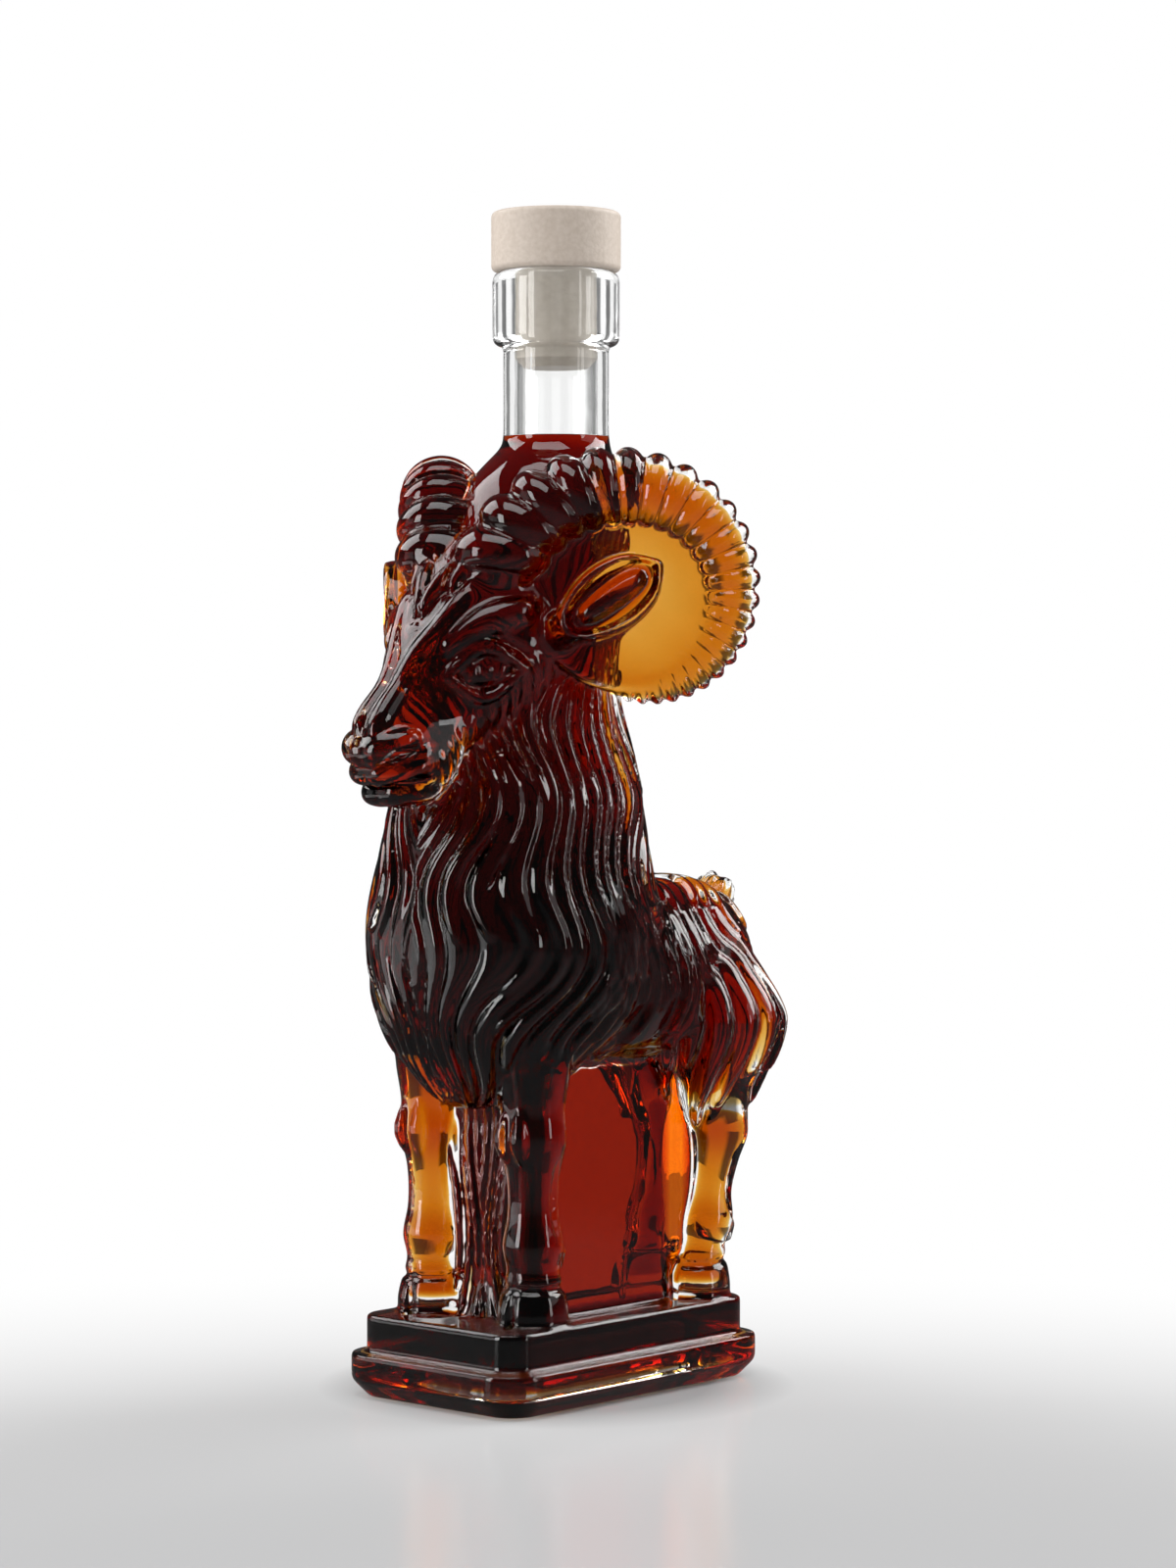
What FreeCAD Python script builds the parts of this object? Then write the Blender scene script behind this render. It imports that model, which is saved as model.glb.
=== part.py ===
"""Figural glass decanter: a standing ram on a stepped plinth, filled and closed with a bar-top stopper.

Millimetres, +Z up. The origin is the middle of the plinth's underside, the ram faces -Y and its left
side is +X. The bottle's neck stands on the Z axis.
"""

import FreeCAD
import Part
import Sketcher
import math
import os

V = FreeCAD.Vector

# Driving dimensions. The heights of the figure's masses are measured from the plinth's deck.
SIZES = {
    # Stepped plinth
    "plinth_width": 56.0,
    "plinth_length": 88.0,
    "plinth_height": 10.0,
    "plinth_corner": 10.0,
    "plinth_bevel": 4.0,
    "step_inset": 3.5,
    "step_height": 8.5,
    "edge_round": 1.4,
    # Glass thickness
    "wall": 3.2,
    "floor": 5.5,
    # Block between the legs
    "core_width": 31.0,
    "core_front": 25.0,
    "core_back": 33.0,
    "core_overlap": 9.0,
    # Legs, each a loft through level circles
    "leg_x": 15.5,
    "foreleg_y": -24.5,
    "foreleg_height": 66.0,
    "hindleg_y": 31.0,
    "hoof_r": 7.6,
    "hoof_height": 9.0,
    "pastern_r": 5.2,
    "cannon_r": 4.8,
    "knee_r": 6.8,
    "knee_height": 41.0,
    "forearm_r": 9.0,
    "hock_r": 7.2,
    "hock_height": 37.0,
    "hock_back": 7.5,
    "gaskin_r": 9.5,
    "gaskin_height": 49.0,
    "thigh_r": 15.5,
    "thigh_height": 65.0,
    "thigh_back": 5.0,
    "haunch_r": 8.0,
    "haunch_height": 86.0,
    "haunch_lean": 5.0,
    # Trunk, a loft through upright ovals from the tail's root to the girth
    "dock_y": 54.0,
    "dock_z": 80.0,
    "dock_wide": 9.0,
    "dock_tall": 9.5,
    "rump_y": 45.0,
    "rump_z": 76.0,
    "rump_wide": 20.0,
    "rump_tall": 19.5,
    "loin_y": 28.0,
    "loin_z": 74.5,
    "loin_wide": 24.0,
    "loin_tall": 22.0,
    "barrel_y": 6.0,
    "barrel_z": 74.0,
    "barrel_wide": 27.0,
    "barrel_tall": 23.0,
    "girth_y": -14.0,
    "girth_z": 77.0,
    "girth_wide": 26.0,
    "girth_tall": 23.0,
    "tail_length": 17.0,
    "tail_r": 7.0,
    # Chest, throat and crown, one loft through level ovals that ends in the bottle's shoulder
    "mane_y": -27.0,
    "mane_z": 47.0,
    "mane_wide": 7.0,
    "mane_tall": 6.0,
    "brisket_y": -23.0,
    "brisket_z": 58.0,
    "brisket_wide": 20.0,
    "brisket_tall": 17.0,
    "chest_y": -17.0,
    "chest_z": 82.0,
    "chest_wide": 31.5,
    "chest_tall": 29.0,
    "throat_y": -13.0,
    "throat_z": 112.0,
    "throat_wide": 27.0,
    "throat_tall": 30.0,
    "nape_y": -9.0,
    "nape_z": 145.0,
    "nape_wide": 21.0,
    "nape_tall": 23.0,
    "crown_y": -6.0,
    "crown_z": 172.0,
    "crown_wide": 21.5,
    "crown_tall": 23.0,
    "shoulder_y": -3.0,
    "shoulder_z": 188.0,
    "shoulder_wide": 18.5,
    "shoulder_tall": 19.0,
    # Head, a loft through ovals square to the line from the poll to the lips
    "head_y": -15.0,
    "head_z": 163.0,
    "head_pitch": 133.0,
    "poll_wide": 18.0,
    "poll_tall": 20.0,
    "brow_along": 14.0,
    "brow_lift": 1.0,
    "brow_wide": 19.5,
    "brow_tall": 19.0,
    "cheek_along": 28.0,
    "cheek_lift": 0.2,
    "cheek_wide": 15.5,
    "cheek_tall": 15.5,
    "muzzle_along": 42.0,
    "muzzle_lift": -0.5,
    "muzzle_wide": 11.0,
    "muzzle_tall": 11.5,
    "nose_along": 54.0,
    "nose_lift": -1.5,
    "nose_wide": 10.5,
    "nose_tall": 11.0,
    "lip_along": 61.0,
    "lip_lift": -2.0,
    "lip_wide": 7.5,
    "lip_tall": 7.5,
    "tip_length": 3.0,
    "tip_r": 4.0,
    "ear_x": 31.5,
    "ear_y": -16.5,
    "ear_z": 161.0,
    "ear_length": 28.0,
    "ear_wide": 7.6,
    "ear_thick": 5.6,
    # Horns: each curls in an upright plane that is splayed outward
    "horn_splay": 45.0,
    "horn_face": 26.0,
    "horn_centre": 15.0,
    "horn_z": 162.5,
    "horn_curl_r": 22.5,
    "horn_reach": 7.5,
    "horn_tuck": 6.0,
    "horn_start": 172.0,
    "horn_sweep": 300.0,
    "horn_root_r": 10.4,
    "horn_tip_r": 3.0,
    "horn_rib": 0.6,
    "horn_web": 9.0,
    # Fleece: wavy locks in relief on the column and the trunk, and crescents on the haunches
    "lock_pitch": 12.0,
    "lock_wide": 4.3,
    "lock_high": 2.4,
    "lock_foot": 1.2,
    "lock_swing": 2.6,
    "lock_turn": 36.0,
    # Bottle neck and finish
    "neck_z": 197.0,
    "neck_flare": 0.6,
    "neck_root": 8.0,
    "neck_r": 12.0,
    "neck_length": 23.0,
    "finish_r": 14.5,
    "finish_height": 15.7,
    "lip_round": 3.0,
    "bore_r": 9.4,
    # Stopper and fill
    "head_r": 14.75,
    "head_height": 13.5,
    "head_round": 1.2,
    "shank_length": 22.0,
    "shank_clearance": 0.08,
    "shank_chamfer": 2.0,
    "spigot_r": 6.0,
    "spigot_length": 7.0,
    "glue_gap": 0.05,
    "ullage": 15.5,
}
HORN_RIBS = 26
# The root's taper, as a share of the horn's length
HORN_ROOT = 0.04
HAUNCH_LOCKS = 3
# Angles in radians from the front: the first and last locks of the neck, and where its front and its sides end
FIRST_LOCK, LAST_LOCK = 0.28, 2.76
FRONT, BACK = 0.9, 1.8
# Angles in radians from the spine: where a lock on the back begins, and its span
LOCK_PART, LOCK_HANG = 0.25, 1.45
# A lock's size at its ends, how deep these sink and how long they taper, as shares of its middle and length
LOCK_END, LOCK_SINK, LOCK_TAPER = 0.35, 1.2, 0.25
LOCK_STEPS = 5
TRUNK = ("dock", "rump", "loin", "barrel", "girth")
COLUMN = ("mane", "brisket", "chest", "throat", "nape", "crown", "shoulder")
HEAD = ("brow", "cheek", "muzzle", "nose", "lip")
STEP_FOLDER = "parts"

DECK = "( plinth_height + step_height )"
CORE_HEIGHT = "( barrel_z - barrel_tall + core_overlap )"
NECK_LOW = f"( {DECK} + neck_z )"
FINISH_LOW = f"( {NECK_LOW} + neck_length )"
FINISH_TOP = f"( {FINISH_LOW} + finish_height )"
SHANK_END = f"( {FINISH_TOP} - shank_length )"

doc = FreeCAD.newDocument("ram_decanter")
sheet = doc.addObject("Spreadsheet::Sheet", "sizes")
for row, (alias, value) in enumerate(SIZES.items(), start=1):
    sheet.set(f"A{row}", alias)
    sheet.set(f"B{row}", str(value))
    sheet.setAlias(f"B{row}", alias)
doc.recompute()


# Ties between the sheet and the document


def size(alias):
    """A driving dimension as a plain number."""
    return float(sheet.get(alias))


def cells(expression):
    """An expression on bare aliases, with each alias pointed at the sheet."""
    words = expression.replace("(", " ( ").replace(")", " ) ").split()
    return " ".join(f"sizes.{word}" if word in SIZES else word for word in words)


def bind(thing, **expressions):
    """Ties properties of an object to the sheet. A dot in a property's name is written as two underscores."""
    for name, expression in expressions.items():
        thing.setExpression(name.replace("__", "."), cells(expression))
    return thing


def place(thing, x="0", y="0", z="0"):
    """Ties the object's position to the sheet."""
    return bind(thing, Placement__Base__x=x, Placement__Base__y=y, Placement__Base__z=z)


def edge_names(shape, chosen):
    """The names of a shape's edges that fit a test."""
    return [f"Edge{i}" for i, edge in enumerate(shape.Edges, start=1) if chosen(edge)]


# Features that several pieces share


def sketch_on(body, name, low):
    """An empty sketch on the body's level plane, raised to a height."""
    sketch = body.newObject("Sketcher::SketchObject", name)
    plane = next(f for f in body.Origin.OriginFeatures if f.Role == "XY_Plane")
    sketch.AttachmentSupport = [(plane, "")]
    sketch.MapMode = "FlatFace"
    bind(sketch, AttachmentOffset__Base__z=low)
    return sketch


def raised(body, sketch, name, height, kind="PartDesign::Pad"):
    """A pad of the sketch, or a pocket that cuts upwards from it."""
    feature = body.newObject(kind, name)
    feature.Profile = sketch
    feature.Reversed = kind == "PartDesign::Pocket"
    bind(feature, Length=height)
    doc.recompute()
    return feature


def round_sketch(body, name, radius, low):
    """A circle about the Z axis."""
    sketch = sketch_on(body, name, low)
    sketch.addGeometry(Part.Circle(V(0, 0, 0), V(0, 0, 1), 5))
    sketch.addConstraint(Sketcher.Constraint("Coincident", 0, 3, -1, 1))
    rule = sketch.addConstraint(Sketcher.Constraint("Radius", 0, 5))
    sketch.setExpression(f"Constraints[{rule}]", cells(radius))
    return sketch


def disc(body, name, radius, low, height):
    """A round pad about the Z axis."""
    return raised(body, round_sketch(body, f"{name}_circle", radius, low), name, height)


def dressed(body, base, kind, name, chosen, **expressions):
    """A fillet or chamfer on the edges of the base feature that fit a test."""
    feature = body.newObject(kind, name)
    feature.Base = (base, edge_names(base.Shape, chosen))
    bind(feature, **expressions)
    doc.recompute()
    return feature


# Masses of the figure


def tier(name, inset, low, height):
    """One step of the plinth: a slab with rounded corners and a softened top edge."""
    body = doc.addObject("PartDesign::Body", name)
    sketch = sketch_on(body, f"{name}_outline", low)
    corners = [V(-9, -9, 0), V(9, -9, 0), V(9, 9, 0), V(-9, 9, 0)]
    for i in range(4):
        sketch.addGeometry(Part.LineSegment(corners[i], corners[(i + 1) % 4]))
    for i in range(4):
        sketch.addConstraint(Sketcher.Constraint("Coincident", i, 2, (i + 1) % 4, 1))
        sketch.addConstraint(Sketcher.Constraint("Vertical" if i % 2 else "Horizontal", i))
    sketch.addConstraint(Sketcher.Constraint("Symmetric", 0, 1, 2, 1, -1, 1))
    across = sketch.addConstraint(Sketcher.Constraint("DistanceX", 0, 1, 0, 2, 18))
    along = sketch.addConstraint(Sketcher.Constraint("DistanceY", 1, 1, 1, 2, 18))
    sketch.setExpression(f"Constraints[{across}]", cells(f"plinth_width - 2 * {inset}"))
    sketch.setExpression(f"Constraints[{along}]", cells(f"plinth_length - 2 * {inset}"))
    slab = raised(body, sketch, f"{name}_slab", height)
    upright = dressed(
        body, slab, "PartDesign::Fillet", f"{name}_corners",
        lambda edge: edge.BoundBox.ZLength > 0.1, Radius=f"plinth_corner - {inset}",
    )
    top = upright.Shape.BoundBox.ZMax - 0.01
    dressed(
        body, upright, "PartDesign::Fillet", f"{name}_edge",
        lambda edge: edge.BoundBox.ZMin > top, Radius="edge_round",
    )
    return body


def foot_bevel(body):
    """The bevel round the plinth's underside."""
    dressed(
        body, body.Tip, "PartDesign::Chamfer", "plinth_foot",
        lambda edge: edge.BoundBox.ZMax < 0.01, Size="plinth_bevel",
    )
    return body


def box(name, width, front, back, low, height):
    """An upright block, centred across and reaching from the front to the back of the Z axis."""
    made = doc.addObject("Part::Box", name)
    bind(made, Length=width, Width=f"{front} + {back}", Height=height)
    return place(made, x=f"0 - ( {width} ) / 2", y=f"0 - ( {front} )", z=low)


def deck():
    """The height of the plinth's deck."""
    return size("plinth_height") + size("step_height")


def ring(centre, across, along, wide, tall):
    """An oval of four quarter arcs about a centre, in the plane of two directions."""
    normal = across.cross(along)
    columns = (across * wide, along * tall, normal, centre)
    rows = [[getattr(column, axis) for column in columns] for axis in "xyz"]
    matrix = FreeCAD.Matrix(*rows[0], *rows[1], *rows[2], 0, 0, 0, 1)
    quarters = [Part.makeCircle(1, V(), V(0, 0, 1), start, start + 90) for start in (0, 90, 180, 270)]
    return Part.Wire([quarter.transformGeometry(matrix) for quarter in quarters])


def level_ring(x, y, z, wide, tall):
    """A level oval at a height above the deck."""
    return ring(V(x, y, deck() + z), V(1, 0, 0), V(0, 1, 0), wide, tall)


def lofted(name, rings, ruled=False):
    """A solid through rings."""
    made = doc.addObject("Part::Feature", name)
    made.Shape = Part.makeLoft(rings, True, ruled)
    return made


def trunk(name, inset=0.0):
    """The ram's trunk from the tail's root to the girth, or its hollow."""
    rings = []
    for i, part in enumerate(TRUNK):
        y = size(f"{part}_y") - (inset if i == 0 else 0)
        centre = V(0, y, deck() + size(f"{part}_z"))
        wide = size(f"{part}_wide") - inset
        tall = size(f"{part}_tall") - inset
        rings.append(ring(centre, V(1, 0, 0), V(0, 0, 1), wide, tall))
    return lofted(name, rings)


def column(name, inset=0.0):
    """The chest, throat and crown up to the bottle's neck, or their hollow up to the bore."""
    rings = []
    for i, part in enumerate(COLUMN):
        z = size(f"{part}_z") + (inset if i == 0 else 0)
        wide = size(f"{part}_wide") - inset
        tall = size(f"{part}_tall") - inset
        rings.append(level_ring(0, size(f"{part}_y"), z, wide, tall))
    top = size("neck_r") + (0 if inset else size("neck_flare"))
    rings.append(level_ring(0, 0, size("neck_z") - inset, top, top))
    return lofted(name, rings)


def head(name, inset=0.0):
    """The head from the poll to the lips, or its hollow."""
    pitch = math.radians(size("head_pitch"))
    along = V(0, -math.sin(pitch), math.cos(pitch))
    lift = V(0, math.cos(pitch), math.sin(pitch))
    poll = V(0, size("head_y"), deck() + size("head_z"))
    rings = [ring(poll, V(1, 0, 0), lift, size("poll_wide") - inset, size("poll_tall") - inset)]
    for part in HEAD:
        reach = size(f"{part}_along") - (inset if part == HEAD[-1] else 0)
        centre = poll + along * reach + lift * size(f"{part}_lift")
        wide = size(f"{part}_wide") - inset
        tall = size(f"{part}_tall") - inset
        rings.append(ring(centre, V(1, 0, 0), lift, wide, tall))
    if not inset:
        tip = centre + along * size("tip_length")
        rings.append(ring(tip, V(1, 0, 0), lift, size("tip_r"), size("tip_r")))
    return lofted(name, rings)


def leg(name, side, y, stations):
    """One leg: each station is a height, a step back and a radius."""
    rings = [level_ring(side * size("leg_x"), y + back, height, r, r) for height, back, r in stations]
    return lofted(name, rings)


def foreleg(name, side):
    """A foreleg from the hoof to the forearm, which ends inside the chest."""
    hoof, knee = size("hoof_height"), size("knee_height")
    stations = [
        (-size("edge_round"), 0, size("hoof_r")),
        (hoof / 2, 0, size("hoof_r")),
        (hoof * 1.3, 0, size("pastern_r")),
        ((hoof + knee) / 2, 0, size("cannon_r")),
        (knee, 0, size("knee_r")),
        (size("foreleg_height"), 0, size("forearm_r")),
    ]
    return leg(name, side, size("foreleg_y"), stations)


def hindleg(name, side):
    """A hind leg from the hoof to the gaskin, which ends inside the haunch."""
    hoof, hock, back = size("hoof_height"), size("hock_height"), size("hock_back")
    stations = [
        (-size("edge_round"), 0, size("hoof_r")),
        (hoof / 2, 0, size("hoof_r")),
        (hoof * 1.3, back / 4, size("pastern_r")),
        ((hoof + hock) / 2, back / 2, size("cannon_r")),
        (hock, back, size("hock_r")),
        (size("gaskin_height"), back / 2, size("gaskin_r")),
    ]
    return leg(name, side, size("hindleg_y"), stations)


def haunch(name, side, inset=0.0):
    """A haunch from inside the hind leg to inside the trunk, or its hollow."""
    y = size("hindleg_y") + size("thigh_back")
    low = (size("hock_height") + size("gaskin_height")) / 2
    stations = [
        (0, low + inset, size("hock_r") - inset),
        (0, size("thigh_height"), size("thigh_r") - inset),
        (size("haunch_lean"), size("haunch_height") - inset, size("haunch_r") - inset),
    ]
    rings = [level_ring(side * (size("leg_x") - lean), y, z, r, r) for lean, z, r in stations]
    return lofted(name, rings)


def tail(name):
    """The short tail, which stands up from the dock."""
    root = V(0, size("dock_y") - size("tail_r"), deck() + size("dock_z"))
    lift = V(0, 0.6, 0.8)
    across = V(1, 0, 0)
    rings = []
    for share, swell in ((0.0, 0.9), (0.5, 1.0), (0.85, 0.8), (1.0, 0.35)):
        centre = root + lift * (share * size("tail_length"))
        rings.append(ring(centre, across, lift.cross(across), swell * size("tail_r"), swell * size("tail_r")))
    return lofted(name, rings)


# Horns and ears


def horn_frame(side):
    """The curl's centre and its axes: outward in its plane, up, and square to it towards the front."""
    splay = math.radians(size("horn_splay"))
    out = V(side * math.sin(splay), math.cos(splay), 0)
    face = V(side * math.cos(splay), -math.sin(splay), 0)
    up = V(0, 0, deck() + size("horn_z"))
    return out * size("horn_centre") + face * size("horn_face") + up, out, face


def horn_point(side, share):
    """A point of the horn's centre line, from the root at share 0 to the tip at share 1."""
    centre, out, _ = horn_frame(side)
    angle = math.radians(size("horn_start") - share * size("horn_sweep"))
    radius = size("horn_curl_r") + size("horn_reach") * max(0.0, 1 - 3 * share) ** 2
    radius -= size("horn_tuck") * max(0.0, 3 * share - 2) ** 2
    return centre + out * (radius * math.cos(angle)) + V(0, 0, radius * math.sin(angle))


def horn_ring(side, share, swell):
    """A circle square to the horn's centre line, swollen or shrunk from the plain taper."""
    nudge = 0.001
    along = horn_point(side, share + nudge) - horn_point(side, share - nudge)
    along.normalize()
    _, _, face = horn_frame(side)
    radius = size("horn_root_r") + (size("horn_tip_r") - size("horn_root_r")) * share + swell
    return ring(horn_point(side, share), face, along.cross(face), radius, radius)


def ribbed_horn(name, side):
    """A horn as a ruled loft through two rings to each rib, with a tapered root inside the head."""
    count = 2 * HORN_RIBS
    swells = (-size("horn_rib"), size("horn_rib"))
    rings = [horn_ring(side, -HORN_ROOT, -size("horn_root_r") / 2)]
    rings += [horn_ring(side, i / count, swells[i % 2]) for i in range(count + 1)]
    return lofted(name, rings, True)


def horn_well(name, side, start=0.04, end=0.72, count=10):
    """The hollow inside the thick stretch of a horn."""
    shares = [start + (end - start) * i / count for i in range(count + 1)]
    return lofted(name, [horn_ring(side, share, -size("wall")) for share in shares])


def web(name, side, inset="0"):
    """The disc that fills the horn's curl, or the thin hollow inside it."""
    centre, _, face = horn_frame(side)
    made = doc.addObject("Part::Cylinder", name)
    half = size("horn_web") / 2
    if inset == "0":
        bind(made, Radius="horn_curl_r", Height="horn_web")
    else:
        bind(made, Radius=f"horn_curl_r - {inset}", Height=f"horn_web - 2 * {inset}")
        half -= size(inset)
    made.Placement = FreeCAD.Placement(centre - face * half, FreeCAD.Rotation(V(0, 0, 1), face))
    return made


def ear(name, side):
    """A flat almond that points up, outward and back, in front of the horn's web."""
    _, out, face = horn_frame(side)
    along = out + V(0, 0, 0.7)
    along.normalize()
    middle = V(side * size("ear_x"), size("ear_y"), deck() + size("ear_z"))
    rings = []
    for share, swell in ((-0.5, 0.35), (-0.2, 0.9), (0.1, 1.0), (0.35, 0.65), (0.5, 0.2)):
        centre = middle + along * (share * size("ear_length"))
        thick = swell * size("ear_thick")
        rings.append(ring(centre, face, along.cross(face), thick, swell * size("ear_wide")))
    return lofted(name, rings)


# Fleece


def between(parts, key, value, wanted):
    """A size of the masses' stations, read between the two stations on either side of a place."""
    stations = sorted((size(f"{part}_{key}"), size(f"{part}_{wanted}")) for part in parts)
    for (low, first), (high, second) in zip(stations, stations[1:]):
        if value <= high:
            break
    share = min(max((value - low) / (high - low), 0.0), 1.0)
    return first + (second - first) * share


def skin(mass, start, outward):
    """The point where a ray from inside a mass leaves it."""
    ray = Part.makeLine(start, start + outward * size("plinth_length"))
    return max((vertex.Point for vertex in mass.Shape.common(ray).Vertexes), key=start.distanceToPoint)


def lock_outline(point, across, outward, swell):
    """A lock's section: an arc that stands out of the surface, closed by a line under it."""
    edge = across * (swell * size("lock_wide"))
    foot = point - outward * (swell * size("lock_foot"))
    top = point + outward * (swell * size("lock_high"))
    arc = Part.Arc(foot - edge, top, foot + edge).toShape()
    return Part.Wire([arc, Part.makeLine(foot + edge, foot - edge)])


def lock(name, mass, rays):
    """A ridge along the points that rays reach on a mass. It dives under the surface at both ends."""
    points = [skin(mass, start, outward) for start, outward in rays]
    last = len(points) - 1
    outlines = []
    for i, (point, (_, outward)) in enumerate(zip(points, rays)):
        across = (points[min(i + 1, last)] - points[max(i - 1, 0)]).cross(outward)
        across.normalize()
        swell = LOCK_END + (1 - LOCK_END) * min(1.0, min(i, last - i) / (LOCK_TAPER * last))
        sunk = outward * (LOCK_SINK * size("lock_high") * (1 - swell))
        outlines.append(lock_outline(point - sunk, across, outward, swell))
    return lofted(name, outlines)


def shares(length):
    """Even steps from 0 to 1, as fine as a lock of this length needs for its waves."""
    count = max(LOCK_STEPS, round(LOCK_STEPS * length / size("lock_turn")))
    return [i / count for i in range(count + 1)]


def swing(distance):
    """How far a lock lies to the side of its straight line, at a distance along it."""
    return size("lock_swing") * math.sin(2 * math.pi * distance / size("lock_turn"))


def column_lock(name, mass, side, angle, low, high):
    """One lock of the neck or the chest, between two heights at an angle from the front."""
    rays = []
    for share in shares(high - low):
        z = low + (high - low) * share
        turn = angle + swing(z) / size("throat_wide")
        start = V(0, between(COLUMN, "z", z, "y"), deck() + z)
        rays.append((start, V(side * math.sin(turn), -math.cos(turn), 0)))
    return lock(name, mass, rays)


def column_locks(mass, side, label):
    """The locks that run down the neck and the chest, one below the other and staggered."""
    made = []
    for i, angle in enumerate(lock_angles()):
        if angle < FRONT:
            low, high = (size("mane_z") + size("brisket_z")) / 2, size("throat_z")
        elif angle < BACK:
            low, high = (size("brisket_z") + size("chest_z")) / 2, size("nape_z")
        else:
            low, high = size("barrel_z") - size("barrel_tall") * math.cos(angle), size("crown_z")
        low += (i % 2) * size("lock_turn") / 4
        rows = max(1, round((high - low) / size("lock_turn")))
        step = (high - low) / rows
        for row in range(rows):
            start = low + row * step
            name = f"neck_lock_{label}_{i + 1}_{row + 1}"
            made.append(column_lock(name, mass, side, angle, start, start + step - size("lock_foot")))
    return made


def lock_angles():
    """The angles of the neck's locks on one side, from beside the throat to beside the spine."""
    span = LAST_LOCK - FIRST_LOCK
    count = round(span * size("throat_wide") / size("lock_pitch"))
    return [FIRST_LOCK + span * i / count for i in range(count + 1)]


def trunk_locks(mass, side, label):
    """The locks that hang from the back over the flank."""
    made = []
    first, last = size("barrel_y") + size("lock_pitch") / 2, size("rump_y")
    for i in range(int((last - first) / size("lock_pitch")) + 1):
        middle = first + i * size("lock_pitch")
        rays = []
        for share in shares(LOCK_HANG * size("barrel_wide")):
            turn = LOCK_PART + LOCK_HANG * share
            y = middle + swing(turn * size("barrel_wide"))
            start = V(0, y, deck() + between(TRUNK, "y", y, "z"))
            rays.append((start, V(side * math.sin(turn), 0, math.cos(turn))))
        made.append(lock(f"back_lock_{label}_{i + 1}", mass, rays))
    return made


def haunch_locks(mass, side, label):
    """The crescents on the outside of a haunch."""
    made = []
    low, high = size("gaskin_height"), size("haunch_height") - size("lock_wide")
    x = side * (size("leg_x") - size("haunch_lean"))
    y = size("hindleg_y") + size("thigh_back")
    round_step = size("lock_pitch") / size("thigh_r")
    for i in range(HAUNCH_LOCKS):
        angle = (i - 1) * round_step
        rays = []
        for share in shares(high - low):
            turn = angle + size("lock_swing") / size("thigh_r") * math.sin(math.pi * share)
            z = low + (high - low) * share
            rays.append((V(x, y, deck() + z), V(side * math.cos(turn), math.sin(turn), 0)))
        made.append(lock(f"haunch_lock_{label}_{i + 1}", mass, rays))
    return made


# The glass vessel and its contents


def fused(name, shapes):
    """One solid of several overlapping ones."""
    made = doc.addObject("Part::MultiFuse", name)
    made.Shapes = shapes
    return made


def finish(name):
    """The bottle's straight neck with its thicker finish and rounded lip."""
    body = doc.addObject("PartDesign::Body", name)
    disc(body, "neck_tube", "neck_r", f"{NECK_LOW} - neck_root", "neck_root + neck_length + edge_round")
    ring = disc(body, "finish_ring", "finish_r", FINISH_LOW, "finish_height")
    top = ring.Shape.BoundBox.ZMax - 0.01
    dressed(
        body, ring, "PartDesign::Fillet", "lip",
        lambda edge: edge.BoundBox.ZMin > top, Radius="lip_round",
    )
    return body


def figure():
    """The outside of the glass. Each mass is joined to its locks first."""
    back, neck = trunk("trunk"), column("column")
    back_locks, neck_locks = [], []
    masses = [
        foot_bevel(tier("plinth_slab", "0", "0", "plinth_height")),
        tier("plinth_step", "step_inset", "plinth_height - edge_round", "step_height + edge_round"),
        box("core", "core_width", "core_front", "core_back", "plinth_height", f"step_height + {CORE_HEIGHT}"),
        head("head"),
        tail("tail"),
        finish("finish"),
    ]
    for side, label in ((1, "left"), (-1, "right")):
        thigh = haunch(f"haunch_{label}", side)
        masses += [
            foreleg(f"foreleg_{label}", side),
            hindleg(f"hindleg_{label}", side),
            ribbed_horn(f"horn_{label}", side),
            web(f"web_{label}", side),
            ear(f"ear_{label}", side),
            fused(f"fleeced_haunch_{label}", [thigh] + haunch_locks(thigh, side, label)),
        ]
        back_locks += trunk_locks(back, side, label)
        neck_locks += column_locks(neck, side, label)
    masses += [
        fused("fleeced_neck", [neck] + neck_locks),
        fused("fleeced_back", [back] + back_locks),
    ]
    return fused("figure", masses)


def cavity():
    """The hollow of the bottle, one wall in from the main masses."""
    inset = size("wall")
    well_reach = "plinth_length / 2 - step_inset - wall"
    masses = [
        box(
            "plinth_well", "plinth_width - 2 * ( step_inset + wall )", well_reach, well_reach,
            "floor", f"{DECK} - floor - wall",
        ),
        box(
            "core_well", "core_width - 2 * wall", "core_front - wall", "core_back - wall",
            "floor", f"{DECK} - floor + {CORE_HEIGHT}",
        ),
        trunk("trunk_well", inset),
        column("column_well", inset),
        head("head_well", inset),
        bore("bore"),
    ]
    for side, label in ((1, "left"), (-1, "right")):
        masses += [
            haunch(f"haunch_well_{label}", side, inset),
            horn_well(f"horn_well_{label}", side),
            web(f"web_well_{label}", side, "wall"),
        ]
    return fused("cavity", masses)


def bore(name):
    """The bore through the neck and out of the finish."""
    made = doc.addObject("Part::Cylinder", name)
    bind(made, Radius="bore_r", Height="neck_root + neck_length + finish_height + edge_round")
    return place(made, z=f"{NECK_LOW} - neck_root")


def cut(name, base, tool):
    """The base with the tool's volume taken away."""
    made = doc.addObject("Part::Cut", name)
    made.Base = base
    made.Tool = tool
    return made


def liquor(hollow):
    """What the bottle holds: the cavity up to the fill level below the stopper."""
    reach = "( plinth_length + plinth_width )"
    below = box("below_fill", f"2 * {reach}", reach, reach, "0", f"{SHANK_END} - ullage")
    made = doc.addObject("Part::Common", "liquor")
    made.Base = hollow
    made.Tool = below
    return made


# The stopper


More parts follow.
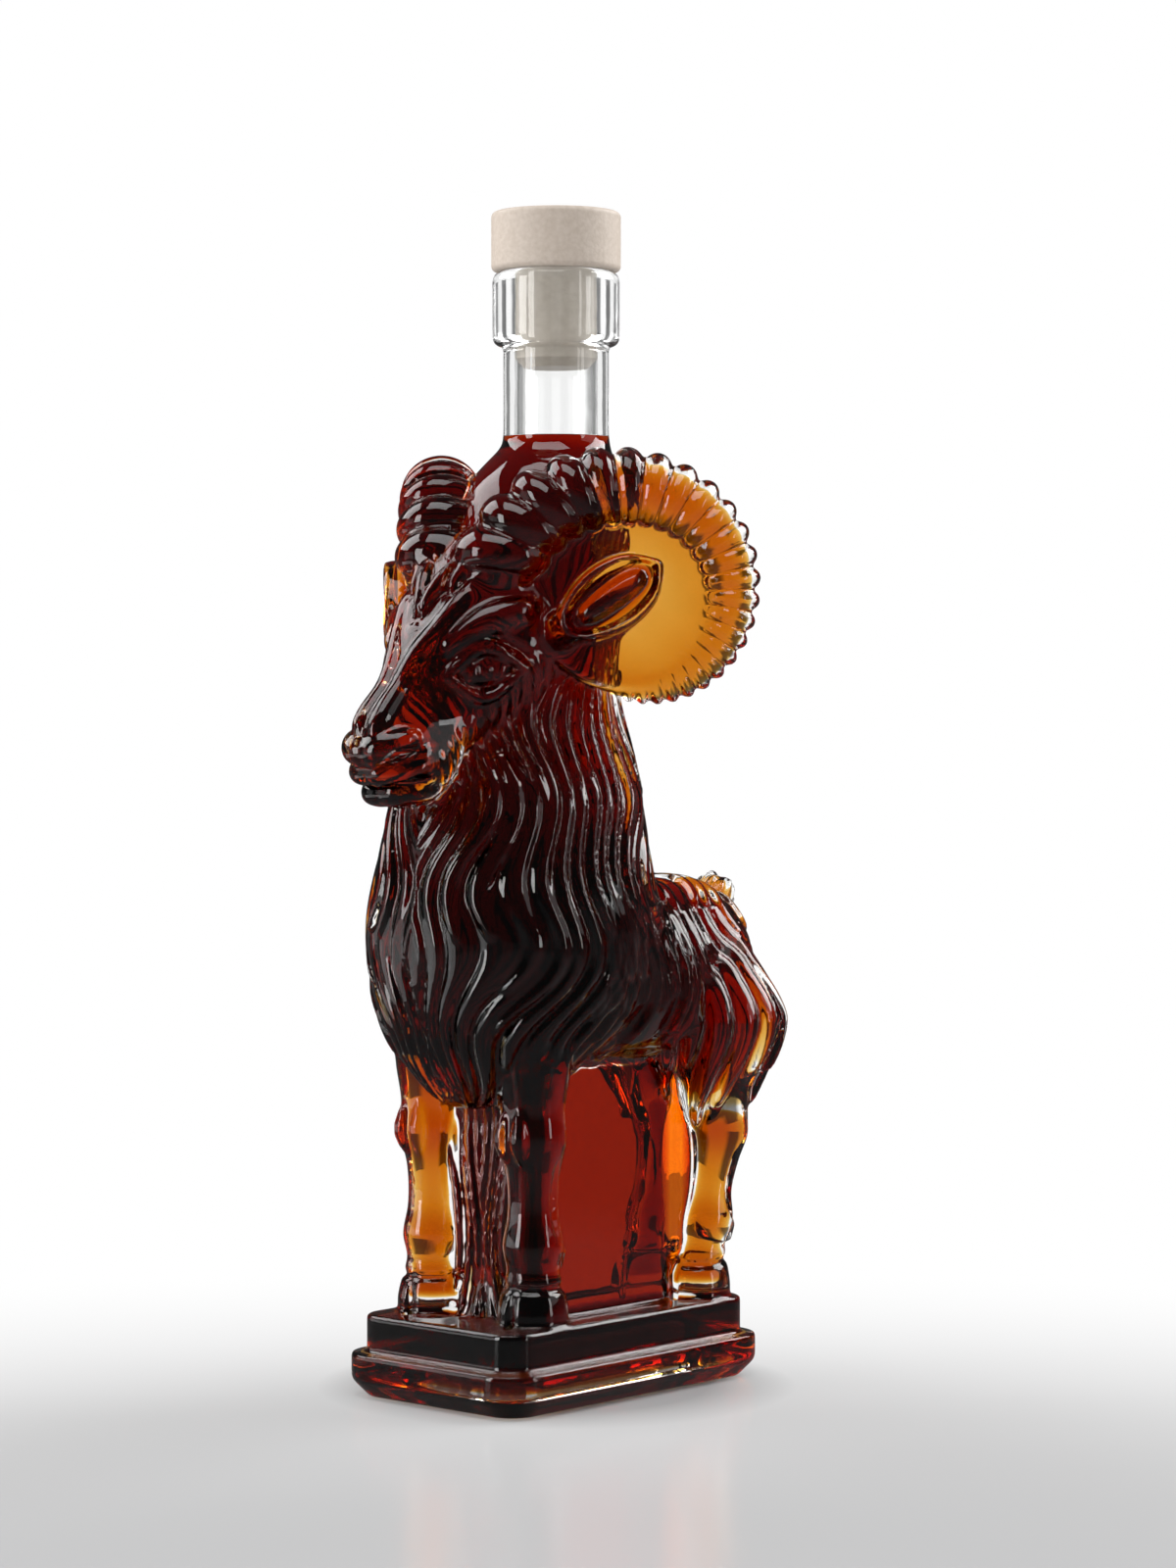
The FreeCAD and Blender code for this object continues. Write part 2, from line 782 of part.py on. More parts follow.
def stopper_head():
    """The turned head, with a blind socket for the shank's spigot."""
    body = doc.addObject("PartDesign::Body", "stopper_head")
    knob = disc(body, "head_knob", "head_r", FINISH_TOP, "head_height")
    rounded = dressed(
        body, knob, "PartDesign::Fillet", "head_edge",
        lambda edge: len(edge.Vertexes) == 1, Radius="head_round",
    )
    socket = round_sketch(body, "socket_circle", "spigot_r + glue_gap", FINISH_TOP)
    raised(body, socket, "socket", "spigot_length + glue_gap", "PartDesign::Pocket")
    assert body.Shape.Volume < rounded.Shape.Volume, "the socket cut nothing"
    return body


def stopper_shank():
    """The plug that seals the bore, with a spigot glued into the head."""
    body = doc.addObject("PartDesign::Body", "stopper_shank")
    plug = disc(body, "plug", "bore_r - shank_clearance", SHANK_END, "shank_length")
    low = plug.Shape.BoundBox.ZMin + 0.01
    dressed(
        body, plug, "PartDesign::Chamfer", "plug_end",
        lambda edge: edge.BoundBox.ZMax < low, Size="shank_chamfer",
    )
    disc(body, "spigot", "spigot_r", FINISH_TOP, "spigot_length")
    return body


def main():
    """Builds the pieces, checks every object and writes one STEP file for each piece."""
    hollow = cavity()
    pieces = {
        "glass_vessel": cut("glass_vessel", figure(), hollow),
        "liquor": liquor(hollow),
        "stopper_head": stopper_head(),
        "stopper_shank": stopper_shank(),
    }
    for label, piece in pieces.items():
        piece.Label = label
    doc.recompute()
    failed = [o.Name for o in doc.Objects if "Invalid" in o.State or "Error" in o.State]
    assert not failed, f"objects failed: {failed}"
    os.makedirs(STEP_FOLDER, exist_ok=True)
    for label, piece in pieces.items():
        shape = piece.Shape
        assert not shape.isNull() and shape.isValid(), f"{label} is not a valid shape"
        print(label, "solids", len(shape.Solids), "faces", len(shape.Faces), "volume", round(shape.Volume))
    for label, piece in pieces.items():
        piece.Shape.exportStep(f"{STEP_FOLDER}/{label}.step")


main()
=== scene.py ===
"""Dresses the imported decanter: a glass ram with its liquor and stopper, in a white studio."""

import math

import bpy
import numpy as np
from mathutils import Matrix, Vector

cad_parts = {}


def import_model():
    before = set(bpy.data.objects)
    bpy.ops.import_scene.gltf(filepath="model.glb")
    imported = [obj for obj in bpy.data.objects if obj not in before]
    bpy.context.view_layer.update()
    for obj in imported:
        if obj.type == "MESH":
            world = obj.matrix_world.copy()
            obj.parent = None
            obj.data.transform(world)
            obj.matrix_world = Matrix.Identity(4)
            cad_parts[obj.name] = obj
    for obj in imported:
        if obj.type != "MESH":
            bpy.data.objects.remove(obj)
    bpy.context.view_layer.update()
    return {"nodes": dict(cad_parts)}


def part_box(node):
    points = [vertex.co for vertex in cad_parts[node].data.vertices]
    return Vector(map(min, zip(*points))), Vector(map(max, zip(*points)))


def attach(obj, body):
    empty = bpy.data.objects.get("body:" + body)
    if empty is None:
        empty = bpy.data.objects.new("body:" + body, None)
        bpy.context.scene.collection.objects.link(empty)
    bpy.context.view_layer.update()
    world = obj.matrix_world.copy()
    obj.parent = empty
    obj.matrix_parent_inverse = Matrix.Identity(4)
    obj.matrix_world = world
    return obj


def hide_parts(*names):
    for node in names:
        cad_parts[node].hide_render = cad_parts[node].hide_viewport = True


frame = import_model()

# Sizes in millimetres. Heights of the figure are measured from the plinth's deck.

MM = 0.001
VOXEL = 0.55
DECK = 18.5
FINISH_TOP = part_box("stopper_head")[0][2] / MM
LIQUOR_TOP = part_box("liquor")[1][2] / MM
# How far the ground of the wool lies inside the stations of its mass
WOOL_INSET = 1.3

# Thickness of the glass round the liquor, in each part of the figure
WALL = 4.6
THINNEST = 1.3
FLOOR = 5.4
PLINTH_WALL = 1.6
CORE_WALL = 8.4
CORE_END_WALL = 2.0
CROWN_WALL = 1.6
# Heights between which the wall thins towards the crown
CROWN_RISE = (170.0, 184.0)
# What a leg's wall has more than the body's
LEG_WALL = -2.0
EAR_WALL = 1.3
LIQUOR_GAP = 0.05

PLINTH_HALF = (28.0, 44.0)
PLINTH_HEIGHT = 10.0
PLINTH_CORNER = 10.0
PLINTH_BEVEL = 4.0
STEP_INSET = 3.5
STEP_SUNK = 2.0
LEDGE_EDGE, FOOT_EDGE, DECK_EDGE, STEP_FILLET = 0.5, 0.8, 0.6, 0.4
CORE_HALF = 15.5
CORE_FRONT, CORE_BACK = -25.0, 33.0
CORE_LOW, CORE_TOP = -8.0, 60.0
CORE_CORNER = 3.0

NECK_R = 12.0
NECK_LOW = DECK + 197.0
FINISH_R = 14.5
FINISH_LOW = FINISH_TOP - 15.7
BORE_R = 9.4

# Stations of the masses: place along the mass, offset, half width, half height
COLUMN = (
    (47, -27, 7, 6), (58, -23, 20, 17), (82, -17, 31.5, 29), (112, -13, 27, 30),
    (145, -10.5, 19.5, 21), (172, -6.5, 20.5, 22), (188, -3, 18.5, 19), (197, 0, 12.6, 12.6),
)
TRUNK = ((-14, 77, 26, 23), (6, 74, 27, 23), (28, 74.5, 24, 22), (45, 76, 20, 19.5), (54, 80, 9, 9.5))
HEAD = (
    (0, 0, 18, 20), (14, 1, 19.5, 19), (28, 0.2, 15.5, 15.5), (42, -0.7, 11, 11.8),
    (54, -2.3, 10.5, 12), (61, -3.2, 7.8, 8.7),
)
POLL = np.array((0.0, -15.0, 163.0))
HEAD_PITCH = math.radians(133)
HEAD_ALONG = np.array((0.0, -math.sin(HEAD_PITCH), math.cos(HEAD_PITCH)))
HEAD_LIFT = np.array((0.0, math.cos(HEAD_PITCH), math.sin(HEAD_PITCH)))

LEG_X = 15.5
# Stations of a leg: height, centre in y, radius
FORELEG = (
    (-1.4, -24.5, 7.9), (3, -24.5, 8.0), (8, -24.5, 6.9), (12, -24.5, 5.9), (17, -24.5, 6.8),
    (24, -24.5, 5.7), (33, -24.5, 5.9), (41, -24.5, 7.6), (47, -24.5, 7.2), (56, -24.5, 8.4),
    (66, -24.5, 9.0),
)
HINDLEG = (
    (-1.4, 31, 7.9), (3, 31, 8.0), (8, 31.6, 6.9), (12, 32.6, 5.8), (17, 34, 6.6),
    (24, 35.4, 5.5), (31, 37.2, 6.0), (37, 38.3, 7.4), (43, 36.8, 8.2), (49, 34.8, 9.5),
)
HAUNCH = ((43, 36, 7.2), (65, 36, 15.5), (86, 36, 8.0))
HAUNCH_LEAN = 5.0
TAIL_ROOT = (0.0, 47.0, 80.0)
TAIL_TIP = (0.0, 55.5, 92.0)
TAIL_R = 6.0

HORN_SPLAY = math.radians(45)
HORN_OUT = np.array((math.sin(HORN_SPLAY), math.cos(HORN_SPLAY), 0.0))
HORN_FACE = np.array((math.cos(HORN_SPLAY), -math.sin(HORN_SPLAY), 0.0))
HORN_CENTRE = HORN_OUT * 15 + HORN_FACE * 26 + np.array((0, 0, 162.5))
HORN_START = 172.0
HORN_SWEEP = 300.0
HORN_CURL_R = 22.5
HORN_REACH = 7.5
HORN_TUCK = 6.0
HORN_R = (10.4, 3.0)
WEB_HALF = 4.5
EAR_MIDDLE = np.array((31.5, -16.5, 161.0))
EAR_HALF = 13.5
EAR_WIDE = 7.6
EAR_THICK = 7.0
# The ear's front: shares from its middle to its rim, and the rise at each
EAR_RINGS = (0.0, 0.22, 0.4, 0.52, 0.72, 0.86, 1.0, 1.2)
EAR_RISE = (5.0, 4.4, 2.2, 2.0, 4.6, 5.8, 4.6, 3.0)
# The liquor's room in a horn, as radii at its root and tip, and in its disc, as half a thickness
HORN_WELL = (5.4, 2.0)
WEB_WELL = 3.0

POLISH = 1
SEED = 11
chance = np.random.default_rng(SEED)

# The grid that the figure's right half is sculpted on


def axis_points(low, high):
    """Evenly spaced grid points that cover a stretch."""
    return low + VOXEL * np.arange(int((high - low) / VOXEL) + 2, dtype=np.float32)


HALF_WIDE = 56.0
FRONT, BACK = -68.0, 66.0
BELOW, ABOVE = 1.3, 1.5
GRID = (
    axis_points(-0.5 * VOXEL, HALF_WIDE),
    axis_points(FRONT, BACK),
    axis_points(-BELOW - DECK, FINISH_TOP - DECK + ABOVE),
)
FAR = 30.0


def empty_field():
    """A field with nothing in it."""
    return np.full([len(points) for points in GRID], FAR, np.float32)


def window(low, high):
    """The slices of the grid that cover a box, and the coordinates of its points."""
    cut = []
    for points, a, b in zip(GRID, low, high):
        first, last = np.searchsorted(points, (a, b))
        cut.append(slice(max(0, first - 1), last + 1))
    x, y, z = (points[part] for points, part in zip(GRID, cut))
    return tuple(cut), x[:, None, None], y[None, :, None], z[None, None, :]


def smooth_min(a, b, blend):
    """The union of two fields, with a fillet of about the blend's size."""
    share = np.clip(0.5 + 0.5 * (b - a) / blend, 0, 1)
    return b + (a - b) * share - blend * share * (1 - share)


def add(field, low, high, shape, blend):
    """Joins a shape to a field inside a box."""
    cut, x, y, z = window(low, high)
    field[cut] = smooth_min(field[cut], shape(x, y, z), blend)


def carve(field, low, high, shape, blend):
    """Takes a shape out of a field inside a box."""
    cut, x, y, z = window(low, high)
    field[cut] = -smooth_min(-field[cut], shape(x, y, z), blend)


# Shapes as fields of distances


def through(at, places, values):
    """A smooth curve through stations, read at any places."""
    places = np.asarray(places, float)
    values = np.asarray(values, float)
    slopes = np.gradient(values, places)
    k = np.clip(np.searchsorted(places, at) - 1, 0, len(places) - 2)
    span = places[k + 1] - places[k]
    t = np.clip((at - places[k]) / span, 0, 1)
    t2, t3 = t * t, t * t * t
    curve = values[k] * (2 * t3 - 3 * t2 + 1) + slopes[k] * span * (t3 - 2 * t2 + t)
    curve = curve + values[k + 1] * (3 * t2 - 2 * t3) + slopes[k + 1] * span * (t3 - t2)
    return curve.astype(np.float32)


def oval(across, up, wide, tall):
    """Distance from an oval of two half sizes."""
    k0 = np.sqrt((across / wide) ** 2 + (up / tall) ** 2)
    k1 = np.sqrt((across / wide**2) ** 2 + (up / tall**2) ** 2)
    return k0 * (k0 - 1) / np.maximum(k1, 1e-3)


def capped(distance, over, blend):
    """A field cut off where another one is above zero, with a rounded edge."""
    return -smooth_min(-distance, -over, blend)


def round_box(x, y, low_x, high_x, low_y, high_y, corner):
    """Distance in a plane from a rectangle with round corners."""
    dx = np.abs(x - (low_x + high_x) / 2) - (high_x - low_x) / 2 + corner
    dy = np.abs(y - (low_y + high_y) / 2) - (high_y - low_y) / 2 + corner
    outside = np.hypot(np.maximum(dx, 0), np.maximum(dy, 0))
    return outside + np.minimum(np.maximum(dx, dy), 0) - corner


# Locks of wool: how far and how often they wave, the radius at which they are spaced,
# which of them stand higher, and how unevenly they end, as a share of their length
LOCK_SWING = 2.6
LOCK_TURN = 36.0
LOCK_REACH = 27.0
LOCK_GROUP = 3
LOCK_HIGH, LOCK_LOW = 1.15, 0.95
LOCK_RAGGED = 0.25
LOCK_COUNT = 64
raggedness = chance.uniform(-1, 1, (8, LOCK_COUNT))

# Rows of locks: where they begin and end along the mass, their pitch and their height
NECK_ROWS = ((184, 150, 3.9, 1.7), (164, 108, 4.3, 2.6), (126, 76, 4.6, 2.9), (104, 46, 5.8, 3.0))
BACK_ROWS = ((-8, 30, 5.0, 2.8), (16, 54, 5.0, 2.6))
HAUNCH_ROWS = ((86, 44, 5.0, 3.0),)
TAIL_ROWS = ((-2, 10, 3.0, 1.6), (6, 20, 3.0, 1.6))
CHEEK_ROWS = ((2, 15, 3.3, 1.3), (9, 30, 3.6, 1.6))


def swing(distance):
    """How far a lock lies to the side of its straight line, at a distance along it."""
    return LOCK_SWING * np.sin(2 * np.pi * distance / LOCK_TURN)


def fleece(across, along, rows):
    """Relief of rows of locks, in distances across them and along them. Each row laps over the next."""
    relief = np.zeros(np.broadcast_shapes(across.shape, along.shape), np.float32)
    for number, (root, tip, pitch, height) in enumerate(rows):
        spot = across / pitch + 0.5 * number
        strand = np.floor(spot).astype(int)
        end = tip + LOCK_RAGGED * (tip - root) * raggedness[number, strand % LOCK_COUNT]
        share = (along - root) / (end - root)
        within = np.clip(share, 0, 1)
        wide = np.sqrt(np.clip(1 - within**4, 0.0025, 1))
        middle = (spot - strand - 0.5) * 2 / wide
        body = np.sqrt(np.clip(1 - middle**2, 0, 1))
        lead = np.where(strand % LOCK_GROUP == 0, LOCK_HIGH, LOCK_LOW)
        rise = np.clip(share * 5, 0, 1) * (0.55 + 0.45 * within) * (share < 1)
        relief = np.maximum(relief, height * lead * rise * body)
    return relief.astype(np.float32)


def column(x, y, z):
    """The chest, throat and crown up to the bottle's neck."""
    places, offsets, wides, talls = zip(*COLUMN)
    centre, wide, tall = (through(z, places, values) for values in (offsets, wides, talls))
    shape = oval(x, y - centre, wide - WOOL_INSET, tall - WOOL_INSET)
    turn = np.arctan2(x, centre - y)
    drift = 2.2 * np.sin(z / 11 + 2.6 * turn) + 1.6 * np.sin(4.3 * turn)
    shape = shape - fleece(turn * LOCK_REACH - swing(z) + drift, z, NECK_ROWS)
    return capped(capped(shape, COLUMN[0][0] - z, 4), z - COLUMN[-1][0], 1)


def trunk(x, y, z):
    """The trunk from the girth to the tail's root."""
    places, offsets, wides, talls = zip(*TRUNK)
    centre, wide, tall = (through(y, places, values) for values in (offsets, wides, talls))
    shape = oval(x, z - centre, wide - WOOL_INSET, tall - WOOL_INSET)
    hang = np.arctan2(x, z - centre) * LOCK_REACH
    drift = 2.0 * np.sin(hang / 9 + y / 7)
    shape = shape - fleece(y - swing(hang) + drift, hang, BACK_ROWS)
    return capped(capped(shape, TRUNK[0][0] - y, 4), y - TRUNK[-1][0] + WOOL_INSET, 8)


def haunch(x, y, z):
    """The haunch with its crescents of wool."""
    turn = np.arctan2(y - HAUNCH[1][1], x - LEG_X + HAUNCH_LEAN)
    top, low = HAUNCH_ROWS[0][:2]
    bow = 4 * np.sin(np.pi * np.clip((top - z) / (top - low), 0, 1))
    return limb(HAUNCH, HAUNCH_LEAN)(x, y, z) - fleece(turn * HAUNCH[1][2] - bow, z, HAUNCH_ROWS)


def tail(x, y, z):
    """The short tail, tufted all round."""
    way = np.subtract(TAIL_TIP, TAIL_ROOT) / np.linalg.norm(np.subtract(TAIL_TIP, TAIL_ROOT))
    along = (y - TAIL_ROOT[1]) * way[1] + (z - TAIL_ROOT[2]) * way[2]
    lift = (z - TAIL_ROOT[2]) * way[1] - (y - TAIL_ROOT[1]) * way[2]
    tuft = fleece(np.arctan2(x, lift) * TAIL_R + 0.6 * np.sin(along / 2), along, TAIL_ROWS)
    return capsule(TAIL_ROOT, TAIL_TIP, TAIL_R, 0.7 * TAIL_R)(x, y, z) - tuft


def head(x, y, z):
    """The head from the poll to the lips, with a narrow bridge and hair on its cheeks."""
    along = (y - POLL[1]) * HEAD_ALONG[1] + (z - POLL[2]) * HEAD_ALONG[2]
    lift = (y - POLL[1]) * HEAD_LIFT[1] + (z - POLL[2]) * HEAD_LIFT[2]
    places, offsets, wides, talls = zip(*HEAD)
    centre, wide, tall = (through(along, places, values) for values in (offsets, wides, talls))
    narrow = 1 - 0.22 * np.clip((lift - centre) / tall, -0.6, 1) * np.clip(along / 20, 0, 1)
    shape = oval(x, lift - centre, wide * narrow, tall)
    share = np.clip((along - 4) / 8, 0, 1) * np.clip((55 - along) / 7, 0, 1)
    shape = shape - share * fleece(along + 0.5 * lift - 0.5 * swing(lift), -lift, CHEEK_ROWS)
    return capped(capped(shape, -along, 4), along - HEAD[-1][0], 7)


def limb(stations, lean=0.0, thinner=0.0):
    """A leg through level circles. A lean brings its top nearer to the middle."""
    heights, centres, radii = zip(*stations)

    def shape(x, y, z):
        centre, radius = through(z, heights, centres), through(z, heights, radii)
        inward = lean * np.clip((z - heights[1]) / (heights[-1] - heights[1]), 0, 1)
        tube = np.hypot(x - LEG_X + inward, y - centre) - radius + thinner
        return capped(capped(tube, heights[0] - z, 1), z - heights[-1], 6)

    return shape


def capsule(a, b, r_a, r_b):
    """A round rod between two points that tapers."""
    a, b = np.asarray(a, float), np.asarray(b, float)
    rod = b - a
    length2 = max(float(rod @ rod), 1e-6)

    def shape(x, y, z):
        dx, dy, dz = x - a[0], y - a[1], z - a[2]
        t = np.clip((dx * rod[0] + dy * rod[1] + dz * rod[2]) / length2, 0, 1)
        gap = (dx - t * rod[0]) ** 2 + (dy - t * rod[1]) ** 2 + (dz - t * rod[2]) ** 2
        return np.sqrt(gap) - (r_a + (r_b - r_a) * t)

    return shape


def plinth(x, y, z):
    """The two steps of the plinth, with the bevel round the foot."""
    half_x, half_y = PLINTH_HALF
    level = z + DECK
    slab = round_box(x, y, -half_x, half_x, -half_y, half_y, PLINTH_CORNER)
    bevel = (slab + PLINTH_BEVEL - level) * math.sqrt(0.5)
    lower = capped(capped(slab, level - PLINTH_HEIGHT, LEDGE_EDGE), np.maximum(bevel, -level), FOOT_EDGE)
    upper = capped(slab + STEP_INSET, np.maximum(level - DECK, STEP_SUNK - level), DECK_EDGE)
    return smooth_min(lower, upper, STEP_FILLET)


def core(x, y, z, thinner=0.0, longer=0.0):
    """The block between the legs, which carries the belly."""
    half = CORE_HALF - thinner
    block = round_box(x, y, -half, half, CORE_FRONT - longer, CORE_BACK + longer, CORE_CORNER)
    return capped(block, np.maximum(z - CORE_TOP, CORE_LOW - z), 2)


def core_well(x, y, z):
    """The liquor's room inside the core, before the wall is taken off it."""
    return core(x, y, z, CORE_WALL - WALL, WALL - CORE_END_WALL)


def neck(x, y, z):
    """The bottle's neck with its thicker finish."""
    around = np.hypot(x, y)
    level = z + DECK
    tube = np.maximum(around - NECK_R, np.maximum(level - FINISH_TOP + 2, NECK_LOW - 8 - level))
    ring = capped(around - FINISH_R, np.maximum(level - FINISH_TOP, FINISH_LOW - level), 2.6)
    bead = np.hypot(around - NECK_R - 0.8, level - FINISH_LOW - 0.3) - 1.5
    return smooth_min(smooth_min(tube, ring, 1.2), bead, 1.0)


# Horns and ears


def curl(x, y, z):
    """Share along the horn, distance from the curl's centre and distance out of its plane."""
    dx, dy, dz = x - HORN_CENTRE[0], y - HORN_CENTRE[1], z - HORN_CENTRE[2]
    out = dx * HORN_OUT[0] + dy * HORN_OUT[1]
    face = dx * HORN_FACE[0] + dy * HORN_FACE[1]
    turn = HORN_START - np.degrees(np.arctan2(dz, out))
    spare = (360 - HORN_SWEEP) / 2
    turn = np.where(turn > HORN_SWEEP + spare, turn - 360, turn)
    return turn / HORN_SWEEP, np.hypot(out, dz), face


def curl_radius(share):
    """Distance of the horn's centre line from the curl's centre."""
    reach = HORN_REACH * np.maximum(0, 1 - 3 * share) ** 2
    return HORN_CURL_R + reach - HORN_TUCK * np.maximum(0, 3 * share - 2) ** 2


RIB_WIDE = 7.0
RIB_NARROW = 2.5
HORN_LENGTH = 128.0


def ribs(share):
    """Swell of the horn's rounded ribs, which close up towards the tip."""
    drop = RIB_WIDE - RIB_NARROW
    count = HORN_LENGTH / drop * np.log(RIB_WIDE / (RIB_WIDE - drop * share))
    bead = np.sqrt(np.abs(np.sin(np.pi * count)) + 0.02)
    height = 3.6 * (1 - 0.45 * share) * np.clip((0.96 - share) / 0.08, 0, 1)
    return height * (bead - 0.75)


def horn(thick, start=0.0, end=1.0, ribbed=False):
    """The curled horn, of a radius at its root and one at its tip."""

    def shape(x, y, z):
        share, around, face = curl(x, y, z)
        held = np.clip(share, start, end)
        radius = thick[0] + (thick[1] - thick[0]) * held
        beyond = np.radians((share - held) * HORN_SWEEP)
        centre = curl_radius(held)
        gap = np.sqrt((around * np.cos(beyond) - centre) ** 2 + (around * np.sin(beyond)) ** 2 + face**2)
        if ribbed:
            radius = radius + ribs(held) * (0.72 + 0.28 * (around - centre) / np.maximum(gap, 1))
        return 0.85 * (gap - radius)

    return shape


def web(half, dish, inset):
    """The dished disc that fills the horn's curl, thinnest in its middle."""

    def shape(x, y, z):
        _, around, face = curl(x, y, z)
        smear = 0.3 * np.sin((x + z) / 2.3 + np.sin((z - y) / 4.1)) * np.cos((y - 0.4 * z) / 3.7)
        thick = half - dish * (1 - (around / HORN_CURL_R) ** 2) + smear * dish / WEB_HALF
        return capped(around - HORN_CURL_R + inset, np.abs(face) - thick, 1.0)

    return shape


EAR_ALONG = (HORN_OUT + np.array((0, 0, 0.7))) / np.linalg.norm(HORN_OUT + np.array((0, 0, 0.7)))
EAR_ACROSS = np.cross(EAR_ALONG, HORN_FACE)


def ear_width(share):
    """Half width of the ear at a share from the root to the tip."""
    return EAR_WIDE * through(share, (-0.5, -0.2, 0.1, 0.35, 0.5), (0.35, 0.9, 1.0, 0.65, 0.1))


def ear_places(x, y, z):
    """Share along the ear, share of its half width across it, its half width, and the place in front."""
    d = [c - m for c, m in zip((x, y, z), EAR_MIDDLE)]
    along = sum(c * a for c, a in zip(d, EAR_ALONG))
    across = sum(c * a for c, a in zip(d, EAR_ACROSS))
    face = sum(c * a for c, a in zip(d, HORN_FACE))
    share = along / (2 * EAR_HALF)
    wide = np.maximum(ear_width(np.clip(share, -0.5, 0.5)), 0.6)
    return share, np.abs(across) / wide, wide, face


def ear(x, y, z):
    """An almond that points up, outward and back, with a thick rim and a bud in its dish."""
    share, out, wide, face = ear_places(x, y, z)
    edge = np.cbrt(out**3 + np.abs(2 * share) ** 7)
    front = through(np.clip(edge, 0, 1.2), EAR_RINGS, EAR_RISE)
    side = np.maximum((out - 1) * wide * 0.8, (np.abs(share) - 0.5) * 2 * EAR_HALF)
    return capped(capped(0.75 * (face - front), -face - EAR_THICK, 1.0), side, 1.2)


def ear_well(x, y, z):
    """The liquor's room inside the ear."""
    share, out, wide, face = ear_places(x, y, z)
    lens = oval(out * wide, face, wide - EAR_WALL, EAR_THICK - EAR_WALL)
    return capped(lens, (np.abs(share) - 0.45) * 2 * EAR_HALF, 1.5)


EAR_ROOT = EAR_MIDDLE - EAR_ALONG * (0.9 * EAR_HALF)
EAR_INNER = np.array((12.0, -18.0, 152.0))


# Reading a field away from its grid points


def read(field, points):
    """Values of a field at any points, which may lie in the mirrored half."""
    spots = np.abs(points[:, 0]), points[:, 1], points[:, 2]
    cells, shares = [], []
    for spot, axis in zip(spots, GRID):
        place = np.clip((spot - axis[0]) / VOXEL, 0, len(axis) - 1.001)
        cells.append(place.astype(int))
        shares.append(place - place.astype(int))
    total = np.zeros(len(points))
    for corner in range(8):
        steps = corner & 1, corner >> 1 & 1, corner >> 2
        weight = np.ones(len(points))
        for step, share in zip(steps, shares):
            weight = weight * (share if step else 1 - share)
        total += weight * field[tuple(cell + step for cell, step in zip(cells, steps))]
    return total


def slope(field, points):
    """Direction in which a field grows, at any points."""
    rise = np.empty_like(points)
    for axis in range(3):
        step = np.zeros(3)
        step[axis] = VOXEL
        rise[:, axis] = read(field, points + step) - read(field, points - step)
    return rise / np.maximum(np.linalg.norm(rise, axis=1, keepdims=True), 1e-6)


def settle(field, points, rounds=4):
    """Points moved onto the field's surface, and the surface's normals there."""
    for _ in range(rounds):
        normals = slope(field, points)
        points = points - np.clip(read(field, points), -4, 4)[:, None] * normals
    return points, normals


# Strands of wool and hair


STRAND_STEPS = 12
STRAND_SHARES = np.linspace(0, 1, STRAND_STEPS + 1)
DOWN = (0, 0, -1)
LOCK_SHAPE = np.interp(STRAND_SHARES, (0, 0.2, 0.6, 0.85, 1), (0.55, 0.95, 1.0, 0.65, 0.2))
LOCK_DEPTH = np.interp(STRAND_SHARES, (0, 0.3, 0.8, 1), (0.95, 0.5, 0.25, 0.1))


def trails(field, starts, heading, length, wave, turns, phase):
    """Wavy lines over the surface, from starting points in a heading."""
    points, normals = settle(field, np.array(starts, float), 8)
    count = len(points)
    heading = np.broadcast_to(np.asarray(heading, float), (count, 3))
    length = np.broadcast_to(np.asarray(length, float), count)
    line, facing = [points], [normals]
    for share in STRAND_SHARES[1:]:
        ahead = heading - (heading * normals).sum(1, keepdims=True) * normals
        ahead /= np.maximum(np.linalg.norm(ahead, axis=1, keepdims=True), 1e-6)
        side = np.cross(normals, ahead)
        sway = wave * np.cos(2 * np.pi * turns * share + phase)
        step = ahead + side * sway[:, None]
        step /= np.maximum(np.linalg.norm(step, axis=1, keepdims=True), 1e-6)
        points, normals = settle(field, points + step * (length / STRAND_STEPS)[:, None], 2)
        line.append(points)
        facing.append(normals)
    return np.stack(line, 1), np.stack(facing, 1)


def press(field, line, radii, blend, cutting=False):
    """A tapered round rod along a line, joined to a field or taken out of it."""
    work = carve if cutting else add
    margin = 2 * VOXEL + blend
    for k in range(len(line) - 1):
        a, b = line[k], line[k + 1]
        reach = max(radii[k], radii[k + 1]) + margin
        low, high = np.minimum(a, b) - reach, np.maximum(a, b) + reach
        if high[0] < GRID[0][0]:
            continue
        work(field, low, high, capsule(a, b, radii[k], radii[k + 1]), blend)


STRAND_SIZE = 0.95
STRAND_BLEND = 0.3
GROOVE_WIDE = 0.8
GROOVE_DEEP = 0.9
GROOVE_BLEND = 0.8


def outline(field, base, line, radii):
    """A groove round a lock, no deeper under the base than a set depth."""
    for a, b, r_a, r_b in zip(line[:-1], line[1:], radii[:-1], radii[1:]):
        reach = max(r_a, r_b) + 2 * VOXEL + GROOVE_BLEND
        low, high = np.minimum(a, b) - reach, np.maximum(a, b) + reach
        if high[0] < GRID[0][0]:
            continue
        cut, x, y, z = window(low, high)
        tool = capped(capsule(a, b, r_a, r_b)(x, y, z), -GROOVE_DEEP - base[cut], GROOVE_BLEND)
        field[cut] = capped(field[cut], -tool, GROOVE_BLEND)


def drape(field, base, lines, normals, sizes):
    """Locks along lines on the base, each with a groove round it."""
    for line, facing, size in zip(lines, normals, sizes):
        outline(field, base, line, LOCK_SHAPE * size + GROOVE_WIDE)
        sunk = line - facing * (LOCK_DEPTH * STRAND_SIZE * size)[:, None]
        press(field, sunk, LOCK_SHAPE * STRAND_SIZE * size, STRAND_BLEND)


